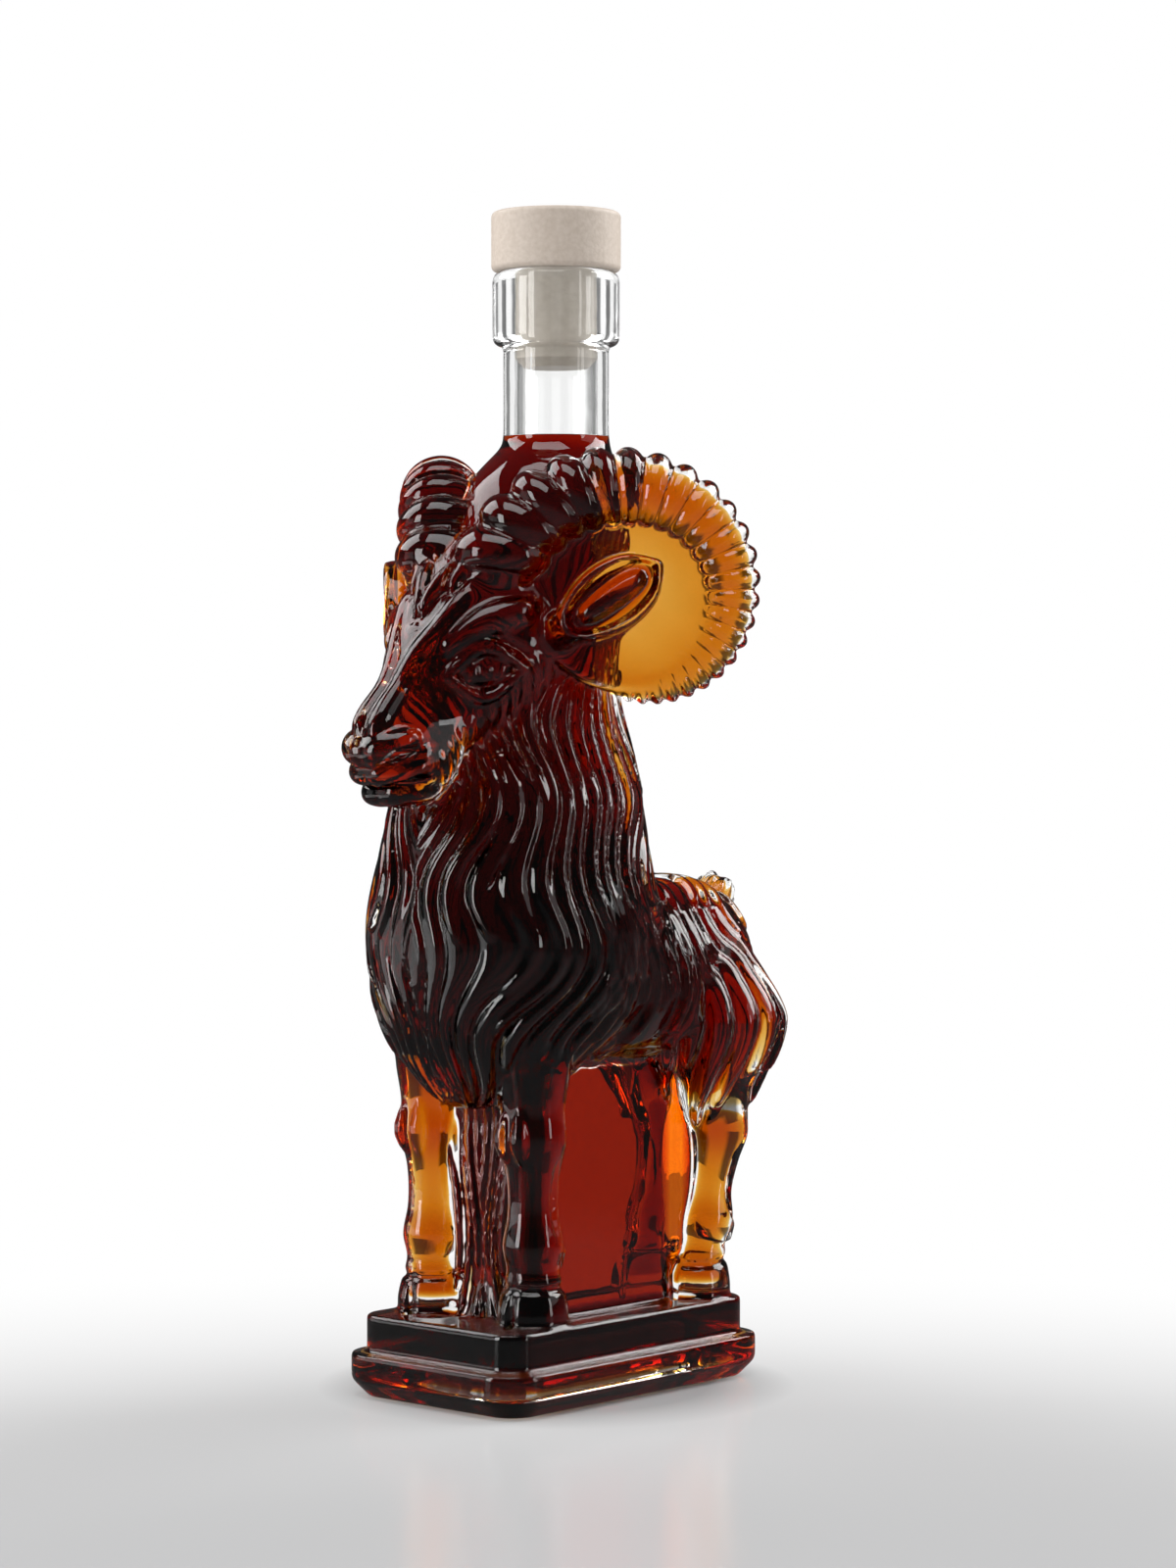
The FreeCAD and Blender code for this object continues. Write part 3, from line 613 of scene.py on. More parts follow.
def comb(field, base, starts, heading, length, radius, wave, turns):
    """A row of wavy locks that run over the base from starting points."""
    count = len(starts)
    phase = 0.35 * np.arange(count) + chance.uniform(-0.6, 0.6, count)
    lengths = length * chance.uniform(0.75, 1.2, count)
    lines, normals = trails(base, starts, heading, lengths, wave, turns, phase)
    drape(field, base, lines, normals, radius * chance.uniform(0.8, 1.2, count))


# The face


def on_face(reach, lift, x):
    """A point of the head by its place along the head, its lift and its distance from the middle."""
    return POLL + HEAD_ALONG * reach + HEAD_LIFT * lift + np.array((x, 0, 0))


FORELOCK_X = (2.2, 6.5, 11.0)
TASSEL_X = (1.5, 4.4, 7.3, 10.2)


def hair(field, base):
    """The forelock and the tassels between the forelegs."""
    forelock = [on_face(2, 20, x) for x in FORELOCK_X]
    inward = HEAD_ALONG - np.array((0.1, 0, 0))
    comb(field, base, forelock, inward, length=25, radius=1.9, wave=0.3, turns=0.8)
    tassels = [(x, CORE_FRONT, 50 - 0.6 * x) for x in TASSEL_X]
    comb(field, base, tassels, DOWN, length=46, radius=1.5, wave=0.16, turns=0.9)


def ridge(field, base, spots, radii, sink, blend, cutting=False):
    """A soft ridge or groove through spots of the face, its line sunk by a share of its radii."""
    spots = np.asarray(spots, float)
    places = np.linspace(0, 1, len(spots))
    fine = np.linspace(0, 1, 4 * len(spots))
    line = np.stack([through(fine, places, spots[:, axis]) for axis in range(3)], 1).astype(float)
    size = through(fine, np.linspace(0, 1, len(radii)), radii).astype(float)
    line, normals = settle(base, line)
    press(field, line - normals * (sink * size)[:, None], size, blend, cutting)


EYE_INNER = on_face(36, 6.7, 9.7)
EYE_MIDDLE = on_face(29.3, 2.3, 14.3)
EYE_OUTER = on_face(22.3, -3.3, 17.5)
LID_OVER = on_face(26, 6.2, 13.5)
LID_UNDER = on_face(33.8, -1.8, 13.7)
LID_FOLD = HEAD_LIFT * 2.6
LID_BACK = HEAD_ALONG * 2.2
EYE_SUNK = 2.6
EYE_R = 3.2
IRIS_OUT = 3.0
IRIS_R = 1.7
IRIS_GROOVE = 0.45

# Lines of the face: spots as place along the head, lift and distance from the middle,
# then the radii along it, its sink, its blend, and whether it is cut
BROW = ((30, 11, 9.5), (21, 10, 14), (13, 6, 18)), (1.8, 2.6, 1.8), 0.25, 2.0, False
BRIDGE_SPOTS = (20, 16, 9), (28, 13.6, 6), (36, 12.4, 3.4), (46, 10.6, 2.6), (55, 8, 2.4)
BRIDGE = BRIDGE_SPOTS, (1.5, 1.7, 1.7, 1.7, 1.6), 0.35, 1.6, False
NOSE = ((60, 6, 1.5), (58, 6, 6), (52, 4, 9.5)), (2.2, 2.6, 1.4), 0.45, 2.0, False
NOSTRIL = ((61, 2.5, 3), (57, 3.6, 7), (53, 1.5, 9.6)), (0.8, 1.2, 0.7), 0.0, 0.5, True
UPPER_LIP = ((62, 0.5, 0), (60.5, 0, 5), (54, -2.5, 10)), (1.9, 1.9, 1.0), 0.4, 1.4, False
MOUTH = ((63, -2.5, 0), (61, -2.6, 5), (54.5, -6, 10)), (0.9, 0.9, 0.6), 0.0, 0.5, True
LOWER_LIP = ((62, -6, 0), (60.5, -6, 4.5), (54, -9, 8)), (2.2, 2.0, 1.0), 0.4, 1.4, False


def eye(field, base):
    """The eye's socket, ball and iris, its lids, and the fold over them."""
    seat, normal = settle(base, np.array([EYE_MIDDLE]))
    along_eye = (EYE_OUTER - EYE_INNER) / np.linalg.norm(EYE_OUTER - EYE_INNER)
    ridge(field, base, (EYE_INNER, EYE_MIDDLE, EYE_OUTER), (0.8, 3.6, 0.8), 0.1, 0.8, True)
    ball = seat[0] - normal[0] * EYE_SUNK
    half = along_eye * EYE_R
    add(field, ball - 3 * EYE_R, ball + 3 * EYE_R, capsule(ball - half, ball + half, EYE_R, EYE_R), 0.5)
    across_eye = np.cross(normal[0], along_eye)
    turn = np.linspace(0, 2 * np.pi, 25)[:, None]
    iris = ball + normal[0] * IRIS_OUT + IRIS_R * (np.cos(turn) * along_eye + np.sin(turn) * across_eye)
    press(field, iris, np.full(len(iris), IRIS_GROOVE), 0.3, True)
    ridge(field, base, (EYE_INNER, LID_OVER, EYE_OUTER), (0.9, 1.6, 1.0), 0.0, 0.5)
    ridge(field, base, (EYE_INNER, LID_UNDER, EYE_OUTER), (0.8, 1.3, 0.9), 0.1, 0.5)
    fold = [spot + LID_FOLD - LID_BACK for spot in (EYE_INNER, LID_OVER, EYE_OUTER)]
    ridge(field, base, fold, (0.6, 0.9, 0.6), 0.0, 0.6, True)


def face(field, base):
    """The eyes, brows, bridge of the nose, nostrils and mouth."""
    eye(field, base)
    for spots, radii, sink, blend, cutting in (BROW, BRIDGE, NOSE, NOSTRIL, UPPER_LIP, MOUTH, LOWER_LIP):
        ridge(field, base, [on_face(*spot) for spot in spots], radii, sink, blend, cutting)


HOOF_BAND_Z = 9.0
HOOF_BAND_TURNS = np.linspace(-2.6, 2.6, 15)
TENDONS = ((FORELEG[0][1], 19, 36), (HINDLEG[5][1], 19, 33))
KNEE_Z = (36, 47)


def swelling(count, end, middle):
    """Radii along a line that swell from both ends to its middle."""
    return np.interp(np.linspace(0, 1, count), (0, 0.5, 1), (end, middle, end))


def legs(field, base):
    """The cleft hooves, the dewclaws, and the tendons and knees of each leg."""
    for stations in (FORELEG, HINDLEG):
        front, back = stations[0][1] - stations[0][2], stations[4][1] + stations[4][2]
        cleft = [(LEG_X, front, -1), (LEG_X, front, 6), (LEG_X, front + 2, 10)]
        press(field, np.array(cleft, float), (1.2, 1.1, 0.6), 0.6, True)
        y = stations[2][1]
        ring = [(LEG_X + 9 * math.sin(t), y - 9 * math.cos(t), HOOF_BAND_Z) for t in HOOF_BAND_TURNS]
        ring, _ = settle(base, np.array(ring))
        press(field, ring, np.full(len(ring), 0.8), 0.6, True)
        for side in (-3, 3):
            claw = [(LEG_X + side, back - 1.6, 16), (LEG_X + side, back - 1.8, 13)]
            press(field, np.array(claw, float), (1.7, 1.1), 0.8)
    for y, low, high in TENDONS:
        tendon = [(LEG_X + 8, y + 1.5, z) for z in np.linspace(low, high, 8)]
        tendon, _ = settle(base, np.array(tendon))
        press(field, tendon, swelling(8, 0.4, 1.1), 0.8, True)
    for side in (-2.8, 2.8):
        knee = [(LEG_X + side, FORELEG[0][1] - 8, z) for z in np.linspace(*KNEE_Z, 6)]
        knee, _ = settle(base, np.array(knee))
        press(field, knee, swelling(6, 0.8, 2.0), 1.0)


def polished(field, rounds):
    """A field with its finest edges softened, as heat leaves moulded glass."""
    for _ in range(rounds):
        for axis in range(3):
            edge = np.take(field, [1 if axis == 0 else 0], axis), np.take(field, [-1], axis)
            wide = np.concatenate((edge[0], field, edge[1]), axis)
            count = field.shape[axis]
            back, ahead = (np.take(wide, range(k, k + count), axis) for k in (0, 2))
            field = 0.5 * field + 0.25 * (back + ahead)
    return field


# The figure


# Boxes that hold the masses, as low and high corners
EVERYWHERE = [points[0] for points in GRID], [points[-1] for points in GRID]
COLUMN_BOX = (-1, FRONT, 40), (HALF_WIDE, 30, 202)
TRUNK_BOX = (-1, -30, 40), (HALF_WIDE, BACK, 125)
HAUNCH_BOX = (-1, 10, 38), (HALF_WIDE, BACK, 96)
HEAD_BOX = (-1, FRONT, 105), (30, 10, 192)
MUZZLE_BOX = (-1, FRONT, 105), (20, 0, 160)
FORELEG_BOX = (-1, FRONT, -6), (HALF_WIDE, BACK, 70)
HINDLEG_BOX = (-1, 10, -6), (HALF_WIDE, BACK, 60)
CORE_BOX = (-1, -40, -DECK), (30, 40, 66)
PLINTH_BOX = (-1, -50, -DECK - 2), (32, 50, 6)
FOOT_BOX = (-1, FRONT, -DECK - 2), (HALF_WIDE, BACK, 0)
TAIL_BOX = (-1, 35, 70), (14, BACK, 108)
HORN_BOX = (0, -50, 110), (HALF_WIDE, 50, 205)
EAR_BOX = (0, -50, 130), (HALF_WIDE, 30, 190)
EAR_ROOT_BOX = (0, -40, 130), (40, 10, 170)
CROWN_BOX = (-1, -40, 168), (30, 40, 205)
NECK_BOX = (-1, -20, 180), (20, 20, 240)
BORE_BOX = (-1, -14, 180), (14, 14, 260)
BODY_BOX = (-1, FRONT, -DECK - 2), (HALF_WIDE, BACK, NECK_LOW - DECK)

# Liquor's room in the muzzle and the tail, as radii at both ends
MUZZLE_WELL = (9.0, 8.0)
TAIL_WELL = (0.75 * TAIL_R, 0.55 * TAIL_R)


def plinth_well(x, y, z):
    """The liquor's room inside the plinth."""
    return plinth(x, y, z) + PLINTH_WALL


def bore(x, y, z):
    """The round bore of the neck."""
    return np.hypot(x, y) - BORE_R


def hollowed(masses):
    """The hollow inside the masses, with its wells in the legs, horns, ears, tail, plinth and neck."""
    hollow = masses.copy()
    add(hollow, *FORELEG_BOX, limb(FORELEG, thinner=LEG_WALL), 3)
    add(hollow, *HINDLEG_BOX, limb(HINDLEG, thinner=LEG_WALL), 3)
    add(hollow, *CORE_BOX, core_well, 2)
    hollow += WALL
    cut, _, _, z = window(*CROWN_BOX)
    low, high = CROWN_RISE
    hollow[cut] -= (WALL - CROWN_WALL) * np.clip((z - low) / (high - low), 0, 1)
    add(hollow, *PLINTH_BOX, plinth_well, 1)
    add(hollow, *HORN_BOX, horn(HORN_WELL, 0.04, 0.95), 1.5)
    add(hollow, *HORN_BOX, web(WEB_WELL, 1.2, 2), 1.5)
    add(hollow, *EAR_BOX, ear_well, 1.0)
    add(hollow, *EAR_ROOT_BOX, capsule(EAR_INNER, EAR_ROOT, 3.0, 1.5), 1.0)
    add(hollow, *TAIL_BOX, capsule(TAIL_ROOT, TAIL_TIP, *TAIL_WELL), 3)
    cut, _, _, z = window(*FOOT_BOX)
    hollow[cut] = capped(hollow[cut], FLOOR - DECK - z, 2)
    add(hollow, *MUZZLE_BOX, capsule(on_face(36, 0, 0), on_face(54.5, -2.8, 0), *MUZZLE_WELL), 2)
    add(hollow, *BORE_BOX, bore, 3)
    return hollow


def sculpt():
    """The fields of the glass's outside and of its hollow."""
    full = empty_field()
    add(full, *COLUMN_BOX, column, 7)
    add(full, *TRUNK_BOX, trunk, 11)
    add(full, *HAUNCH_BOX, haunch, 3)
    add(full, *HEAD_BOX, head, 3)
    hollow = hollowed(full)

    add(full, *TAIL_BOX, tail, 2)
    add(full, *FORELEG_BOX, limb(FORELEG), 3)
    add(full, *HINDLEG_BOX, limb(HINDLEG), 3)
    add(full, *EVERYWHERE, core, 2)
    add(full, *EVERYWHERE, plinth, 1)
    add(full, *NECK_BOX, neck, 2)
    base = full.copy()

    hair(full, base)
    face(full, base)
    legs(full, base)
    add(full, *HORN_BOX, web(WEB_HALF, 1.0, 0), 0.8)
    add(full, *HORN_BOX, horn(HORN_R, ribbed=True), 0.8)
    add(full, *EAR_BOX, ear, 0.6)
    add(full, *EAR_ROOT_BOX, capsule(EAR_INNER, EAR_ROOT, 6.0, 3.4), 2.0)
    full = polished(full, POLISH)
    cut, _, _, _ = window(*BODY_BOX)
    hollow[cut] = np.maximum(hollow[cut], full[cut] + THINNEST)
    return full, hollow


# From fields to meshes


def net(field):
    """A field's surface as points and quads, and which points lie in the middle plane."""
    inside = field < 0
    corners = [(i, j, k) for i in (0, 1) for j in (0, 1) for k in (0, 1)]
    nx, ny, nz = (n - 1 for n in field.shape)
    count = np.zeros((nx, ny, nz), np.uint8)
    for i, j, k in corners:
        count += inside[i:i + nx, j:j + ny, k:k + nz]
    cells = np.argwhere((count > 0) & (count < 8))
    number = np.full((nx, ny, nz), -1, np.int32)
    number[tuple(cells.T)] = np.arange(len(cells))
    spots, hits = np.zeros((len(cells), 3)), np.zeros(len(cells))
    for a in corners:
        for axis in range(3):
            if a[axis]:
                continue
            b = list(a)
            b[axis] = 1
            here, there = field[tuple((cells + a).T)], field[tuple((cells + b).T)]
            crossed = (here < 0) != (there < 0)
            share = here[crossed] / (here[crossed] - there[crossed])
            spots[crossed] += np.array(a)
            spots[crossed, axis] += share
            hits[crossed] += 1
    points = (cells + spots / hits[:, None]) * VOXEL + [axis[0] for axis in GRID]
    quads = []
    for axis in range(3):
        u, v = (axis + 1) % 3, (axis + 2) % 3
        low = [slice(1, n - 1) for n in field.shape]
        low[axis] = slice(0, field.shape[axis] - 1)
        high = list(low)
        high[axis] = slice(1, field.shape[axis])
        crossed = inside[tuple(low)] != inside[tuple(high)]
        edges = np.argwhere(crossed) + [part.start for part in low]
        ring = []
        for du, dv in ((0, 0), (1, 0), (1, 1), (0, 1)):
            cell = edges.copy()
            cell[:, u] -= du
            cell[:, v] -= dv
            ring.append(number[tuple(cell.T)])
        ring = np.stack(ring, 1)
        leaving = inside[tuple(edges.T)]
        quads.append(np.where(leaving[:, None], ring, ring[:, ::-1]))
    return points, np.concatenate(quads), cells[:, 0] == 0


SNAP_ROUNDS = 2
SNAP_STEP = 0.3


def mesh_from(name, field):
    """A mesh of a field's surface with its mirror image, in metres."""
    points, quads, middle = net(field)
    for _ in range(SNAP_ROUNDS):
        step = np.clip(read(field, points), -SNAP_STEP, SNAP_STEP)
        points = points - step[:, None] * slope(field, points)
    points[middle, 0] = 0
    partner = np.arange(len(points))
    partner[~middle] = len(points) + np.arange((~middle).sum())
    twin = points[~middle] * (-1, 1, 1)
    points = np.concatenate((points, twin)) + (0, 0, DECK)
    quads = np.concatenate((quads, partner[quads][:, ::-1]))
    mesh = bpy.data.meshes.new(name)
    mesh.vertices.add(len(points))
    mesh.vertices.foreach_set("co", (points * MM).ravel())
    mesh.loops.add(4 * len(quads))
    mesh.loops.foreach_set("vertex_index", quads.ravel())
    mesh.polygons.add(len(quads))
    mesh.polygons.foreach_set("loop_start", np.arange(0, 4 * len(quads), 4))
    mesh.update(calc_edges=True)
    mesh.validate()
    mesh.polygons.foreach_set("use_smooth", np.ones(len(mesh.polygons), bool))
    thing = bpy.data.objects.new(name, mesh)
    bpy.context.scene.collection.objects.link(thing)
    return thing


# Materials

GLASS_BEND = 1.5
WETTED_BEND = 1.0
LIQUOR_BEND = 1.36
LIQUOR_DENSITY = 860.0
LIQUOR_COLOUR = (0.9, 0.66, 0.0, 1)


def material(name):
    """A new material with its node tree, its main shader and its output."""
    made = bpy.data.materials.new(name)
    made.use_nodes = True
    tree = made.node_tree
    return made, tree, tree.nodes["Principled BSDF"], tree.nodes["Material Output"]


def node(tree, kind, **values):
    """A node with its inputs set by name."""
    made = tree.nodes.new(kind)
    for name, value in values.items():
        made.inputs[name.replace("_", " ")].default_value = value
    return made


def noise(tree, scale, detail=2.0):
    """A noise in object space."""
    place = tree.nodes.new("ShaderNodeTexCoord")
    made = node(tree, "ShaderNodeTexNoise", Scale=scale, Detail=detail)
    tree.links.new(place.outputs["Object"], made.inputs["Vector"])
    return made


def ramp(tree, source, low, high):
    """Two colours mixed by a noise."""
    made = tree.nodes.new("ShaderNodeValToRGB")
    made.color_ramp.elements[0].position = 0.3
    made.color_ramp.elements[0].color = low
    made.color_ramp.elements[1].position = 0.7
    made.color_ramp.elements[1].color = high
    tree.links.new(source.outputs["Fac"], made.inputs["Fac"])
    return made


def bump(tree, shader, source, distance, strength):
    """Fine relief of a surface."""
    made = node(tree, "ShaderNodeBump", Strength=strength, Distance=distance)
    tree.links.new(source.outputs["Fac"], made.inputs["Height"])
    tree.links.new(made.outputs["Normal"], shader.inputs["Normal"])


def spread(tree, source, socket, low, high):
    """A socket's value, spread between two limits by a noise."""
    made = node(tree, "ShaderNodeMapRange", To_Min=low, To_Max=high)
    tree.links.new(source.outputs["Fac"], made.inputs["Value"])
    tree.links.new(made.outputs["Result"], socket)


def math_node(tree, operation, *values):
    """A sum on numbers or sockets."""
    made = tree.nodes.new("ShaderNodeMath")
    made.operation = operation
    for i, value in enumerate(values):
        if isinstance(value, (int, float)):
            made.inputs[i].default_value = value
        else:
            tree.links.new(value, made.inputs[i])
    return made.outputs["Value"]


def clear_glass():
    """Flint glass with the faint waviness of a mould."""
    made, tree, shader, _ = material("clear_glass")
    shader.inputs["Transmission Weight"].default_value = 1.0
    shader.inputs["IOR"].default_value = GLASS_BEND
    waves = noise(tree, 90)
    tint = ramp(tree, waves, (0.985, 0.99, 0.985, 1), (1, 1, 1, 1))
    tree.links.new(tint.outputs["Color"], shader.inputs["Base Color"])
    spread(tree, noise(tree, 400), shader.inputs["Roughness"], 0.0, 0.008)
    bump(tree, shader, waves, 0.0003, 0.4)
    return made


def wetted(name):
    """A surface between glass and liquor, which bends and mirrors next to nothing."""
    made, tree, shader, output = material(name)
    shader.inputs["Transmission Weight"].default_value = 1.0
    shader.inputs["IOR"].default_value = WETTED_BEND
    shader.inputs["Roughness"].default_value = 0.0
    haze = ramp(tree, noise(tree, 30), (0.98, 0.97, 0.95, 1), (1, 1, 1, 1))
    tree.links.new(haze.outputs["Color"], shader.inputs["Base Color"])
    return made, tree, shader, output


def amber_liquor(name, bend):
    """Dark amber liquor that takes its colour from depth."""
    made, tree, shader, output = wetted(name)
    shader.inputs["IOR"].default_value = bend
    depth = node(tree, "ShaderNodeVolumeAbsorption", Color=LIQUOR_COLOUR, Density=LIQUOR_DENSITY)
    tree.links.new(depth.outputs["Volume"], output.inputs["Volume"])
    return made


def beige(name, low, high, rough, grain):
    """A matt beige with fine grain."""
    made, tree, shader, _ = material(name)
    specks = noise(tree, grain, 6)
    tint = ramp(tree, specks, low, high)
    tree.links.new(tint.outputs["Color"], shader.inputs["Base Color"])
    spread(tree, specks, shader.inputs["Roughness"], rough - 0.08, rough + 0.08)
    bump(tree, shader, specks, 0.0002, 0.5)
    return made


# The studio

AZIMUTH = math.radians(42.5)
DISTANCE = 0.895
EYE_HEIGHT = 0.160
LENS = 90.0
SENSOR = 36.0
AIM_RIGHT = 0.00727
AIM_HEIGHT = 0.1376


def towards(thing, target):
    """Turns an object's view axis to a point."""
    x, y, z = np.asarray(target) - np.asarray(thing.location)
    thing.rotation_euler = (math.atan2(math.hypot(x, y), -z), 0, math.atan2(-x, y))


def round_axis(bearing, distance, height):
    """A point at a bearing from the camera's side of the axis, positive to its right."""
    angle = AZIMUTH + math.radians(bearing)
    return (distance * math.sin(angle), -distance * math.cos(angle), height)


def camera():
    """A camera where the photograph was taken."""
    data = bpy.data.cameras.new("camera")
    data.sensor_fit = "VERTICAL"
    data.sensor_height = SENSOR
    data.lens = LENS
    made = bpy.data.objects.new("camera", data)
    made.location = round_axis(0, DISTANCE, EYE_HEIGHT)
    towards(made, (AIM_RIGHT * math.cos(AZIMUTH), AIM_RIGHT * math.sin(AZIMUTH), AIM_HEIGHT))
    bpy.context.scene.collection.objects.link(made)
    bpy.context.scene.camera = made


LAMP_AIM = 0.14
# Lamps: bearing from the camera in degrees, distance, height, size and power
LAMPS = {
    "left_box": (-112, 1.0, 0.85, (0.8, 0.8), 9.0),
    "right_box": (112, 1.0, 0.85, (0.8, 0.8), 15),
    "top_box": (-25, 0.3, 1.1, (0.8, 0.6), 5.5),
    "left_card": (-88, 1.0, 0.2, (0.5, 0.4), 0.3),
    "right_card": (80, 1.0, 0.5, (0.75, 0.55), 0.9),
    "left_strip": (-62, 1.1, 0.3, (0.3, 0.7), 4.8),
    "right_strip": (60, 1.1, 0.25, (0.14, 0.7), 1.3),
    "low_card": (-85, 0.36, 0.03, (0.45, 0.1), 0.18),
}


def soft_box(name, bearing, distance, height, size, power):
    """A large soft lamp that faces the object."""
    data = bpy.data.lights.new(name, "AREA")
    data.shape = "RECTANGLE"
    data.size, data.size_y = size
    data.energy = power
    made = bpy.data.objects.new(name, data)
    made.location = round_axis(bearing, distance, height)
    towards(made, (0, 0, LAMP_AIM))
    bpy.context.scene.collection.objects.link(made)


FLOOR_REACH = 6.0
# The floor turns white between two distances from a point in front of the object, but not under the object
WHITE_POINT = -0.3
WHITE_FROM, WHITE_TO = 0.13, 0.48
UNDER_FROM, UNDER_TO = 0.035, 0.055
# What mirrored rays see of the floor: how much of it is a flat glow, and how bright that is
FLOOR_GLOW = 0.85
FLOOR_GLOSS = 0.1


def length_node(tree, vector):
    """The length of a vector."""
    made = tree.nodes.new("ShaderNodeVectorMath")
    made.operation = "LENGTH"
    tree.links.new(vector, made.inputs[0])
    return made.outputs["Value"]


def floor():
    """A pale floor that fades to white away from the object."""
    bpy.ops.mesh.primitive_circle_add(vertices=96, radius=FLOOR_REACH, fill_type="NGON")
    made = bpy.context.object
    made.name = "floor"
    look, tree, shader, output = material("floor")
    shader.inputs["Base Color"].default_value = (0.57, 0.57, 0.575, 1)
    shader.inputs["Roughness"].default_value = 0.18
    place = tree.nodes.new("ShaderNodeTexCoord").outputs["Object"]
    shift = node(tree, "ShaderNodeVectorMath")
    shift.inputs[1].default_value = round_axis(0, WHITE_POINT, 0)
    tree.links.new(place, shift.inputs[0])
    fade = node(tree, "ShaderNodeMapRange", From_Min=WHITE_FROM, From_Max=WHITE_TO)
    fade.interpolation_type = "SMOOTHSTEP"
    tree.links.new(length_node(tree, shift.outputs["Vector"]), fade.inputs["Value"])
    clear = node(tree, "ShaderNodeMapRange", From_Min=UNDER_FROM, From_Max=UNDER_TO)
    tree.links.new(length_node(tree, place), clear.inputs["Value"])
    faded = math_node(tree, "MULTIPLY", fade.outputs["Result"], clear.outputs["Result"])
    path = tree.nodes.new("ShaderNodeLightPath").outputs
    mirrored = math_node(tree, "SUBTRACT", path["Is Glossy Ray"], path["Is Transmission Ray"])
    mirrored = math_node(tree, "MAXIMUM", mirrored, 0)
    dimmed = math_node(tree, "MULTIPLY", mirrored, 1 - FLOOR_GLOSS)
    white = node(tree, "ShaderNodeEmission", Color=(1, 1, 1, 1))
    tree.links.new(math_node(tree, "SUBTRACT", 1, dimmed), white.inputs["Strength"])
    covered = math_node(tree, "MAXIMUM", faded, math_node(tree, "MULTIPLY", mirrored, FLOOR_GLOW))
    mix = tree.nodes.new("ShaderNodeMixShader")
    tree.links.new(covered, mix.inputs["Fac"])
    tree.links.new(shader.outputs["BSDF"], mix.inputs[1])
    tree.links.new(white.outputs["Emission"], mix.inputs[2])
    tree.links.new(mix.outputs["Shader"], output.inputs["Surface"])
    made.data.materials.append(look)


PANELS = 8
PANEL_GAP = 0.2
# Where the panels' edges and the roof's begin and end, in cosines of the bearing and sines of the height
PANEL_FROM, PANEL_TO = -0.6, 0.3
ROOF_FROM, ROOF_TO = 0.4, 0.75
GLOSS_SHARE = 0.05
FILL_LIGHT = 0.15


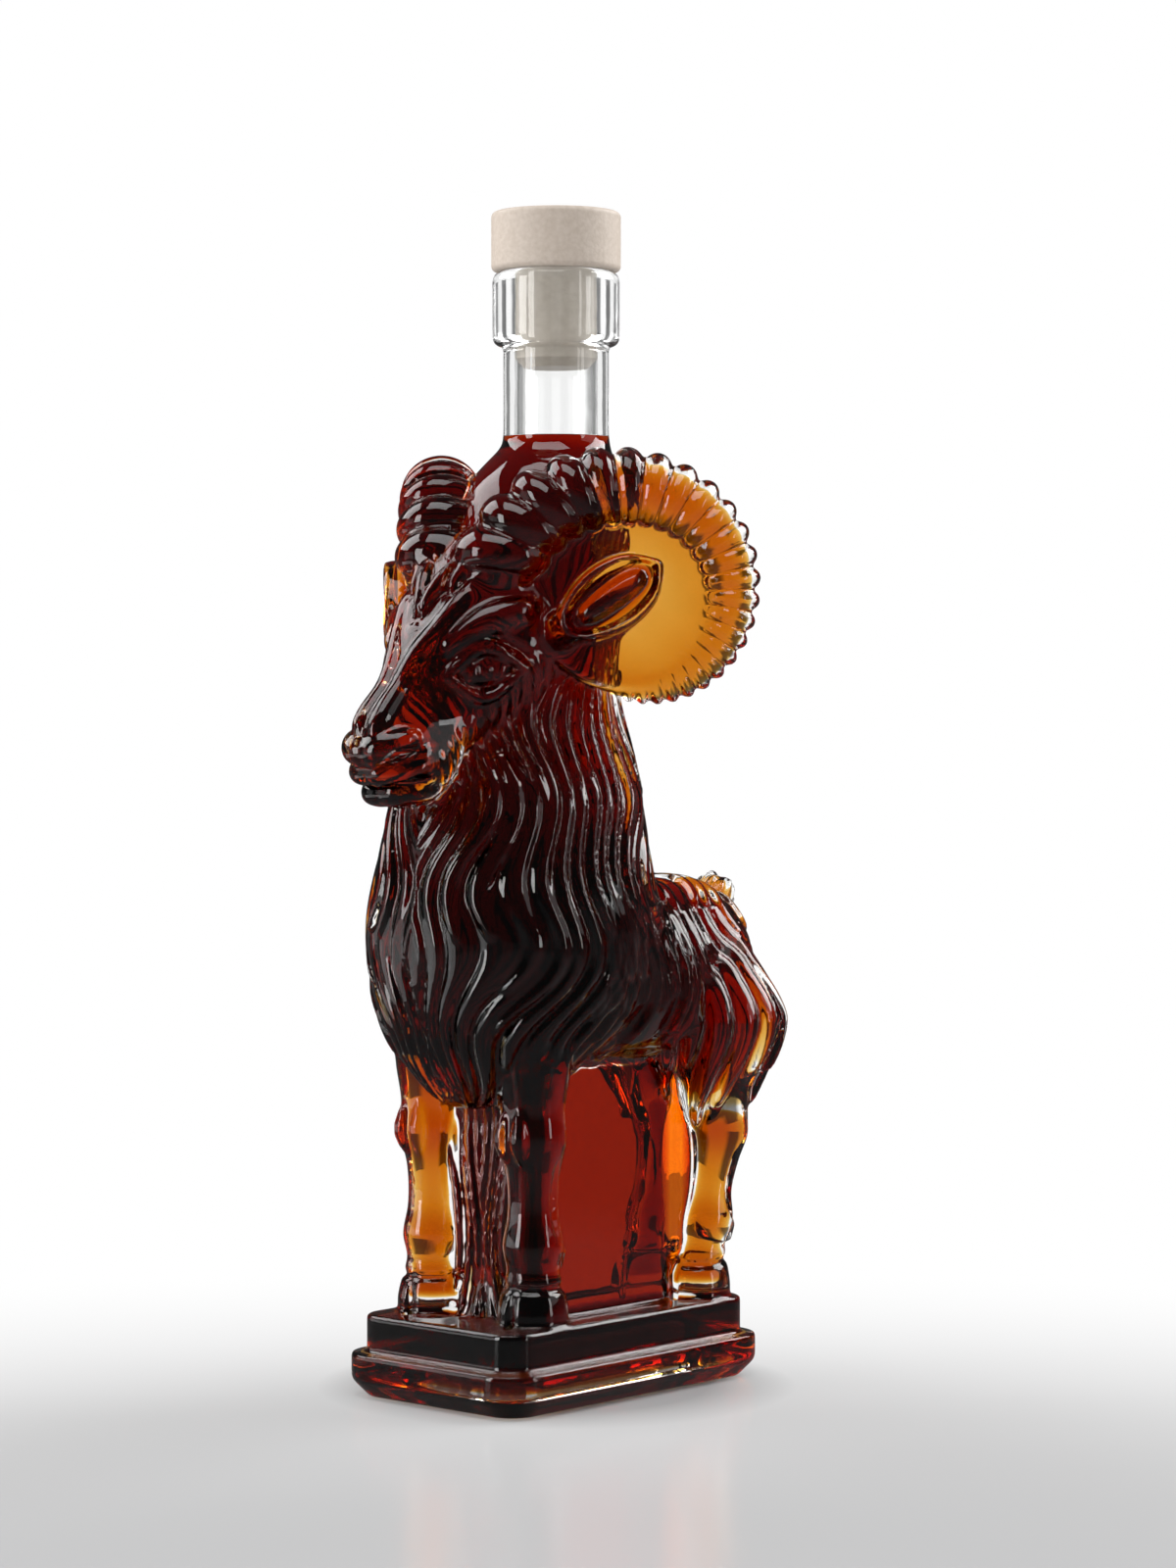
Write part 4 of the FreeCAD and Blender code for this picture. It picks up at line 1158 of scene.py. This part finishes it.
def world():
    """White for the camera, white panels through glass, and dim in reflections and as fill light."""
    made = bpy.data.worlds.new("studio")
    made.use_nodes = True
    tree = made.node_tree
    back = tree.nodes["Background"]
    back.inputs["Color"].default_value = (1, 1, 1, 1)
    path = tree.nodes.new("ShaderNodeLightPath").outputs
    way = tree.nodes.new("ShaderNodeSeparateXYZ")
    tree.links.new(tree.nodes.new("ShaderNodeTexCoord").outputs["Generated"], way.inputs["Vector"])
    bearing = math_node(tree, "ARCTAN2", way.outputs["Y"], way.outputs["X"])
    turned = math_node(tree, "SUBTRACT", bearing, AZIMUTH + math.pi / 2)
    lobes = math_node(tree, "COSINE", math_node(tree, "MULTIPLY", turned, PANELS))
    panel = node(tree, "ShaderNodeMapRange", From_Min=PANEL_FROM, From_Max=PANEL_TO, To_Min=PANEL_GAP)
    tree.links.new(lobes, panel.inputs["Value"])
    roof = node(tree, "ShaderNodeMapRange", From_Min=ROOF_FROM, From_Max=ROOF_TO, To_Max=PANEL_GAP)
    roof.inputs["To Min"].default_value = 1
    tree.links.new(way.outputs["Z"], roof.inputs["Value"])
    wall = math_node(tree, "MULTIPLY", panel.outputs["Result"], roof.outputs["Result"])
    through_glass = math_node(tree, "MULTIPLY", wall, path["Is Transmission Ray"])
    mirrored = math_node(tree, "MULTIPLY", path["Is Glossy Ray"], GLOSS_SHARE)
    diffuse = math_node(tree, "MULTIPLY", path["Is Diffuse Ray"], FILL_LIGHT)
    seen = math_node(tree, "MAXIMUM", through_glass, path["Is Camera Ray"])
    dim = math_node(tree, "MAXIMUM", mirrored, diffuse)
    tree.links.new(math_node(tree, "MAXIMUM", seen, dim), back.inputs["Strength"])
    bpy.context.scene.world = made


# The object

WET_REACH = 1.0
TOP_SKIN = 0.1

outside, hollow = sculpt()
glass_field = np.maximum(outside, -hollow)
shell = mesh_from("glass_shell", glass_field)
shell.data.materials.append(clear_glass())
shell.data.materials.append(wetted("wetted_glass")[0])
centres = np.empty(3 * len(shell.data.polygons))
shell.data.polygons.foreach_get("center", centres)
centres = centres.reshape(-1, 3) / MM - (0, 0, DECK)
inner = (read(hollow, centres) < WET_REACH) & (read(outside, centres) < -WET_REACH)
wet = inner & (centres[:, 2] < LIQUOR_TOP - DECK)
shell.data.polygons.foreach_set("material_index", wet.astype(np.int32))
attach(shell, "bottle")
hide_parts("glass_vessel")

level = GRID[2][None, None, :] + DECK - LIQUOR_TOP
fill = mesh_from("liquor_fill", np.maximum(hollow + LIQUOR_GAP, level))
fill.data.materials.append(amber_liquor("amber_liquor", WETTED_BEND))
fill.data.materials.append(amber_liquor("amber_liquor_top", LIQUOR_BEND))
heights = np.empty(3 * len(fill.data.polygons))
fill.data.polygons.foreach_get("center", heights)
top = heights.reshape(-1, 3)[:, 2] > (LIQUOR_TOP - TOP_SKIN) * MM
fill.data.polygons.foreach_set("material_index", top.astype(np.int32))
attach(fill, "bottle")
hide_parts("liquor")

head_node, shank_node = frame["nodes"]["stopper_head"], frame["nodes"]["stopper_shank"]
for stopper_part, look in (
    (head_node, beige("beige_head", (0.50, 0.42, 0.35, 1), (0.58, 0.50, 0.43, 1), 0.55, 900)),
    (shank_node, beige("pale_shank", (0.52, 0.46, 0.38, 1), (0.60, 0.54, 0.46, 1), 0.5, 600)),
):
    stopper_part.data.materials.clear()
    stopper_part.data.materials.append(look)

camera()
for lamp, place in LAMPS.items():
    soft_box(lamp, *place)
floor()
world()

scene = bpy.context.scene
scene.view_settings.view_transform = "Standard"
scene.cycles.max_bounces = 24
scene.cycles.transmission_bounces = 24
scene.cycles.glossy_bounces = 8
